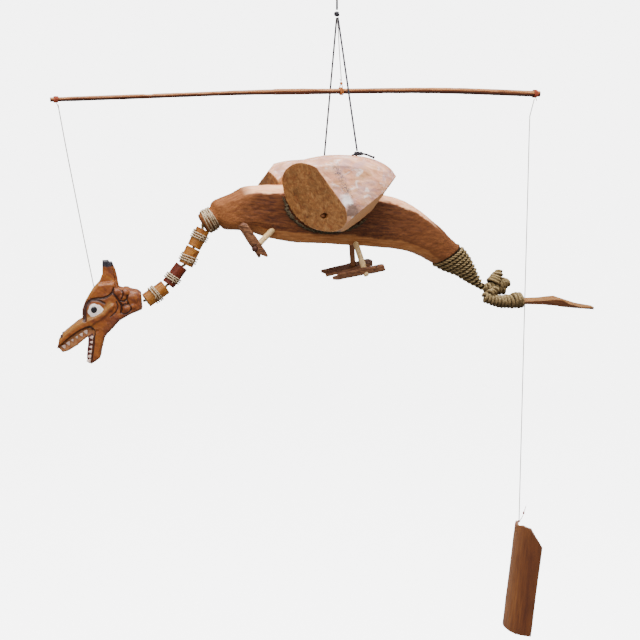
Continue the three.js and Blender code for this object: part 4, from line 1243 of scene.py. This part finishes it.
def inset(outline, amount):
    """The outline moved inward by amount, corner by corner."""
    p = np.asarray(outline, float)
    before, after = p - np.roll(p, 1, axis=0), np.roll(p, -1, axis=0) - p
    area = (p[:, 0] * np.roll(p[:, 1], -1) - np.roll(p[:, 0], -1) * p[:, 1]).sum()
    sense = math.copysign(1, area)
    moved = []
    for corner, a, b in zip(p, before, after):
        in_a, in_b = (sense * vec(-edge[1], edge[0]) for edge in (unit(a), unit(b)))
        normal = unit(in_a + in_b)
        moved.append(corner + normal * amount / max(0.6, normal.dot(in_a)))
    return np.array(moved)


def slab(outline, half, bevel, y=0.0):
    """A carved layer: the outline as a thick plate with chamfered rims."""
    rings = []
    for across, amount in ((-half, bevel), (-half + bevel, 0), (half - bevel, 0), (half, bevel)):
        ring = inset(outline, amount + HEAD_TRIM)
        rings.append(np.column_stack([ring[:, 0], np.full(len(ring), y + across), ring[:, 1]]))
    return skin(rings)


def distance_to(route, x, z):
    """How far places are from a line of points, in the side view."""
    line = spline(route, 8 * len(route)) if len(route) > 2 else np.asarray(route, float)
    best = np.full(len(x), np.inf)
    for a, b in zip(line[:-1], line[1:]):
        d = b - a
        t = np.clip(((x - a[0]) * d[0] + (z - a[1]) * d[1]) / max(d.dot(d), 1e-9), 0, 1)
        best = np.minimum(best, np.hypot(x - a[0] - t * d[0], z - a[1] - t * d[1]))
    return best


def inside(layer, x, z):
    """Whether places are inside a layer's outline, in the side view."""
    outline = HEAD_LAYERS[layer][2]
    result = np.zeros(len(x), bool)
    for (ax, az), (bx, bz) in zip(outline, outline[1:] + outline[:1]):
        crosses = (az > z) != (bz > z)
        result ^= crosses & (x < (bx - ax) * (z - az) / (bz - az + 1e-12) + ax)
    return result


def make_head_block():
    block = Piece()
    for layer, (half, bevel, outline) in HEAD_LAYERS.items():
        if layer == "horn":
            for side, back in ((NEAR, 0), (FAR, FAR_HORN_BACK)):
                moved = [(x + back, z - back * 0.8) for x, z in outline]
                block.add(slab(moved, half, bevel, side * HORN_SPREAD))
        else:
            block.add(slab(outline, half, bevel))
    for side in (NEAR, FAR):
        for x, z, size in SCALES:
            block.add(lump(vec(x, side * 12.4, z), vec(size, 3.2, size * 0.85), 24, 14))
        block.add(lump(vec(-39.6, side * 10, -20), vec(2.1, 3, 1.7), 18, 10))  # a nostril
    obj = block.put(head_frame).make("head_block", "head_wood", "head_wood", "head")
    remesh(obj, HEAD_VOXEL, 2)
    points = in_head(places(obj))
    x, y, z = points.T
    on_side = np.abs(y) > 11
    groove = np.zeros(len(x))
    sink = np.zeros(len(x))
    for route, half, depth in HEAD_GROOVES.values():
        away = distance_to(route, x, z)
        sink = np.maximum(sink, depth * (1 - fade(away, half * 0.3, half * 1.2)))
        groove = np.maximum(groove, 1 - fade(away, half * 0.75, half * 1.25))
    tool = 0.35 * grain(points, (9, 5, 9), 3) + 0.06 * grain(points, (8, 1.5, 1.5), 5)
    relief(obj, tool - sink * on_side - 0.15)
    mouth = inside("palate", x, z) & ~inside("jaw_band", x, z)
    side_cut = inside("tongue_side", x, z) & ~inside("lower_jaw", x, z)
    front = (z < -16) & (x < -8.5 + (z + 18) * 0.1) & (np.abs(y) < 10.6) & ~mouth & (x > -17)
    tips = fade(z + 0.8 * grain(points, (3, 3, 3), 9), 52.2, 53.2) * (x < 20)
    nostril = 1 - fade(np.hypot(x + 40.2, z + 19.4), 1.8, 2.4)
    bright = 1 - fade(distance_to(SNOUT_EDGE, x, z), 2, 3.6)
    horn_edge = 1 - fade(distance_to(HORN_EDGE, x, z), 1.4, 2.4)
    under = fade(-(z - 0.54 * x + 9), 0, 6) * (x > 4) * 0.5
    knuckles = fade(x, 17, 21) * fade(grain(points, (5, 5, 5), 21), -0.1, 0.5) * 0.7
    # Painted shade: the carved grooves are darkened.
    paint(obj, "groove", groove * on_side)
    paint(obj, "flesh", mouth * (z < -12).astype(float))
    paint(obj, "maroon", (side_cut | front).astype(float))
    paint(obj, "black", np.maximum(tips, 0.85 * nostril))
    paint(obj, "pale", 0.5 * np.maximum(bright, horn_edge) * (1 - groove))
    paint(obj, "shade", np.maximum(under, knuckles) * (1 - groove))


def make_eye_ball(side):
    rings = []
    for t in np.linspace(-1, 1, 40):
        half = EYE_HEIGHT * max(1 - abs(t) ** 2.3, 0.01) ** 0.8
        bulge = EYE_BULGE * max(1 - t * t, 0.0) ** 0.5
        ring = []
        for a in around(28):
            y = side * (12.9 + bulge * max(math.cos(a), -0.3))
            ring.append((EYE_X + EYE_LENGTH * t, y, EYE_Z + half * math.sin(a)))
        rings.append(ring)
    white = Piece(skin(rings)).put(head_frame)
    rework(white.make(f"{SIDE_NAMES[side]}_eye_white", "eye_white", "head_wood"))
    pupil = Piece(lump(vec(EYE_X - 1.6, side * 14.55, EYE_Z + 1.3), vec(3.5, 0.8, 3.7), 28, 12))
    pupil.put(head_frame).make(f"{SIDE_NAMES[side]}_eye_pupil", "pupil_black", "head_wood")


def tooth(gum, along, size):
    """One painted tooth: a rounded triangle standing on the gum."""
    rings = []
    for t, width in ((0, 1), (0.35, 0.86), (0.7, 0.5), (0.92, 0.2), (1, 0.06)):
        across = vec(-along[2], 0, along[0]) * size * 0.52 * width
        depth = vec(0, 1.3 * width, 0)
        middle = gum + along * size * t
        rings.append([middle + across * math.cos(a) + depth * math.sin(a) for a in around(14)])
    return skin(rings)


def make_teeth():
    teeth = Piece()
    for side in (NEAR, FAR):
        for t in np.linspace(0, 1, 6):
            gum = vec(-38.6 + 23.5 * t, side * 10.4, -29.8 + 15.2 * t)
            teeth.add(tooth(gum, unit(vec(0.45, 0, -0.9)), 3.7 + 0.9 * math.sin(7 * t + 1)))
        for t in np.linspace(0, 1, 6):
            gum = vec(-6.8 - 3.4 * t, side * 10.9, -22.5 - 25.5 * t)
            teeth.add(tooth(gum, unit(vec(-1, 0, 0.12)), 4.0 - 0.7 * math.sin(5 * t)))
    rework(teeth.put(head_frame).make("head_teeth", "tooth_white", "head_wood"))


make_neck()
make_head_block()
make_eye_ball(NEAR)
make_eye_ball(FAR)
make_teeth()

# ---------------- tail
CONE_UPPER = [(151, 0, -316), (162.5, 0, -329), (172.8, 0, -347), (181.5, 0, -361.5), (185, 0, -365.2)]
CONE_LOWER = [(116, 0, -338), (129, 0, -345), (145.2, 0, -351.5), (161.5, 0, -361.2), (180, 0, -371.5)]
CONE_STEPS = 400
CONE_TURNS = 12
CONE_HALF = (16.5, 4.2)
CONE_CORE_DEPTH = 2.4
CONE_PITCH = 8.5


def cone_rib(edges, t, inward):
    """Middle, half height and half width of the tail's root, t of the way down and so far inside it."""
    top, low = (vec(*(np.interp(t * CONE_STEPS, range(CONE_STEPS + 1), c) for c in edge.T)) for edge in edges)
    up = (top - low) / 2
    half = CONE_HALF[0] + (CONE_HALF[1] - CONE_HALF[0]) * t - inward
    return (top + low) / 2, up * (1 - inward / np.linalg.norm(up)), vec(0, half, 0)


def make_cone():
    """Rope wound side by side down the tail's tapering root."""
    edges = spline(CONE_UPPER, CONE_STEPS), spline(CONE_LOWER, CONE_STEPS)
    steps = CONE_TURNS * 44
    path = []
    for k in range(steps + 1):
        centre, up, half = cone_rib(edges, k / steps, 1.7 + 0.5 * noise.noise((k * 0.11, 4.2, 1.0)))
        angle = TURN * CONE_TURNS * k / steps
        path.append(centre + up * math.cos(angle) + half * math.sin(angle))
    path = spline(path[::3], 1500)
    radius = np.interp(np.linspace(0, 1, len(path)), (0, 0.85, 1), (2.1, 1.8, 1.5))
    lines = strands(path, radius[:, None] * 0.5, CONE_PITCH, 2)
    cone = Piece(*(rounded(line, radius * STRAND, 8) for line in lines))
    cone.add(*frays(path, 150, 3.2, 5))
    cone.make("tail_cone_rope", "rope", "rope", "tail_cone")
    # The root under the rope is coloured very dark: painted shade in the gaps between the turns.
    core = []
    for t in np.linspace(0, 1, 30):
        centre, up, half = cone_rib(edges, t, CONE_CORE_DEPTH)
        angle = around(32)[:, None]
        core.append(centre + np.cos(angle) * up + np.sin(angle) * half)
    Piece(skin(core)).make("tail_cone_core", "rope_bed_shade", "rope")


# Each part's core: its route, its radius along the way, and its turns of rope.
CURL_PARTS = {
    "mass": ([(182, 0, -367), (189, 0.5, -368.2), (199, 1, -369.4), (210, 2, -370)], (4.8, 8.6, 6.4), 6),
    "knob_top": ([(193.5, 0, -363.5), (198.6, 1, -356.5), (203, 2, -348.2)], (8.4, 8.0, 7.2, 6.2, 3.2), 5),
    "knob_right": ([(201, 1, -365.6), (208.5, 1.5, -364), (215.6, 2, -363)], (8.4, 7.6, 6.6, 5.8, 3.0), 4),
    "back": (
        [(198, -4, -368), (191, -8, -371.5), (184, -9.6, -374.5), (178.8, -9.8, -378.6)], (4.8, 5.0, 5.0), 5,
    ),
    "end": (
        [(177.6, -9.8, -377), (189, -10, -381.2), (202, -10, -383.4), (214, -10, -383.2), (227, -10, -382.6)],
        (5.4, 7.8, 9.4), 12,
    ),
}
CURL_ROPE_R = 1.95


def spread(numbers, count):
    """The numbers stretched evenly over count places."""
    return np.interp(np.linspace(0, 1, count), np.linspace(0, 1, len(numbers)), numbers)


def make_curl():
    """The knotted end of the tail: bent cores, each wound with rope."""
    rope = Piece()
    core = Piece()
    for label, (route, radii, turns) in CURL_PARTS.items():
        line = spline(route, 60)
        count = turns * 18
        lumpy = np.array([noise.noise((k * 0.13, len(label), 0.5)) for k in range(count + 1)])
        wound = helix(line, spread(radii, count + 1) - 0.8 * CURL_ROPE_R + 1.1 * lumpy, turns, 18, len(label))
        path = spline((wound + lumpy[:, None] * vec(0.6, 0.3, 0.5))[::2], turns * 40)
        rope.add(rounded(path, CURL_ROPE_R * (1 + 0.14 * grain(path, (5, 5, 5), 4)), 10))
        rope.add(*frays(path, 26, 3.0, len(label)))
        core.add(rounded(line, np.maximum(spread(radii, 61) - 2.4, 0.6), 16))
    rope.make("tail_curl_rope", "rope", "rope", "tail_curl")
    # The cores are coloured very dark: painted shade in the gaps between the turns.
    core.make("tail_curl_core", "rope_bed_shade", "rope")


BLADE_Y = -10
BLADE_SIDES = 48
# Each station: x, and z of the top, the near edge and the underside, then half the width.
BLADE_STATIONS = [
    (227.8, -380.5, -384, -388, 4), (250, -380.9, -383.7, -389, 6), (266, -380.6, -382.3, -391, 10),
    (275, -380.8, -383, -392.4, 13), (284, -383.8, -388.4, -393.6, 13), (302, -390, -393.6, -395.8, 9),
    (321.5, -393.6, -395, -398.2, 4),
]


def make_blade():
    """A spade: root, heart and tapering tip."""
    rings = []
    for x, top, edge, under, half in resample(np.array(BLADE_STATIONS), 110):
        corners = vec((half, top), (-half, edge), (-half * 0.7, under), (half * 0.8, top - 3.4), (half, top))
        outline = smoothed_ring(corners + vec(BLADE_Y, 0), BLADE_SIDES)
        rings.append(np.column_stack([np.full(BLADE_SIDES, x), outline]))
    obj = Piece(skin(rings)).make("tail_blade_wood", "blade_wood", "blade_wood", "tail_blade")
    points = places(obj)
    relief(obj, 0.14 * grain(points, (16, 2, 2), 3) + 0.12 * grain(points, (12, 12, 12), 5) - 0.12)


make_cone()
make_curl()
make_blade()

# ---------------- studio
STUDIO_FLOOR, STUDIO_REACH, STUDIO_BEND, STUDIO_WALL = -1050, 3400, 800, 6000
STUDIO_GLOW = 0.5
# Each light: place, size in metres and watts.
LIGHTS = {
    "key_light": (vec(-1000, -1300, 700), 1.2, 30),
    "fill_light": (vec(1100, -1200, 0), 1.6, 6),
    "top_light": (vec(0, -200, 1200), 1.6, 70),
}


def make_studio():
    """A round pale floor that curves up into a wall all about, a ceiling, and soft light."""
    flat = STUDIO_REACH - STUDIO_BEND
    low = STUDIO_FLOOR + STUDIO_BEND
    quarter = np.linspace(0, math.pi / 2, 16)
    bend = [(flat + STUDIO_BEND * math.sin(a), low - STUDIO_BEND * math.cos(a)) for a in quarter]
    profile = [(10, STUDIO_FLOOR), *bend, (STUDIO_REACH, STUDIO_FLOOR + STUDIO_WALL)]
    verts, faces = skin([[(r * math.cos(a), r * math.sin(a), z) for a in around(72)] for r, z in profile])
    mesh = bpy.data.meshes.new("studio_floor")
    mesh.from_pydata((verts * MM).tolist(), [], faces)
    mesh.materials.append(LOOKS["studio_paper"])
    mesh.shade_smooth()
    stage = show(bpy.data.objects.new("studio_floor", mesh))
    stage.visible_diffuse = False
    stage.visible_glossy = False
    stage.visible_shadow = False
    for name, (place, size, watts) in LIGHTS.items():
        lamp = bpy.data.lights.new(name, "AREA")
        lamp.size = size
        lamp.energy = watts
        aim(show(bpy.data.objects.new(name, lamp)), place, vec(0, 0, -300))
    world = bpy.data.worlds.new("studio")
    world.use_nodes = True
    world.node_tree.nodes["Background"].inputs["Color"].default_value = (1, 1, 1, 1)
    world.node_tree.nodes["Background"].inputs["Strength"].default_value = STUDIO_GLOW
    bpy.context.scene.world = world


make_studio()
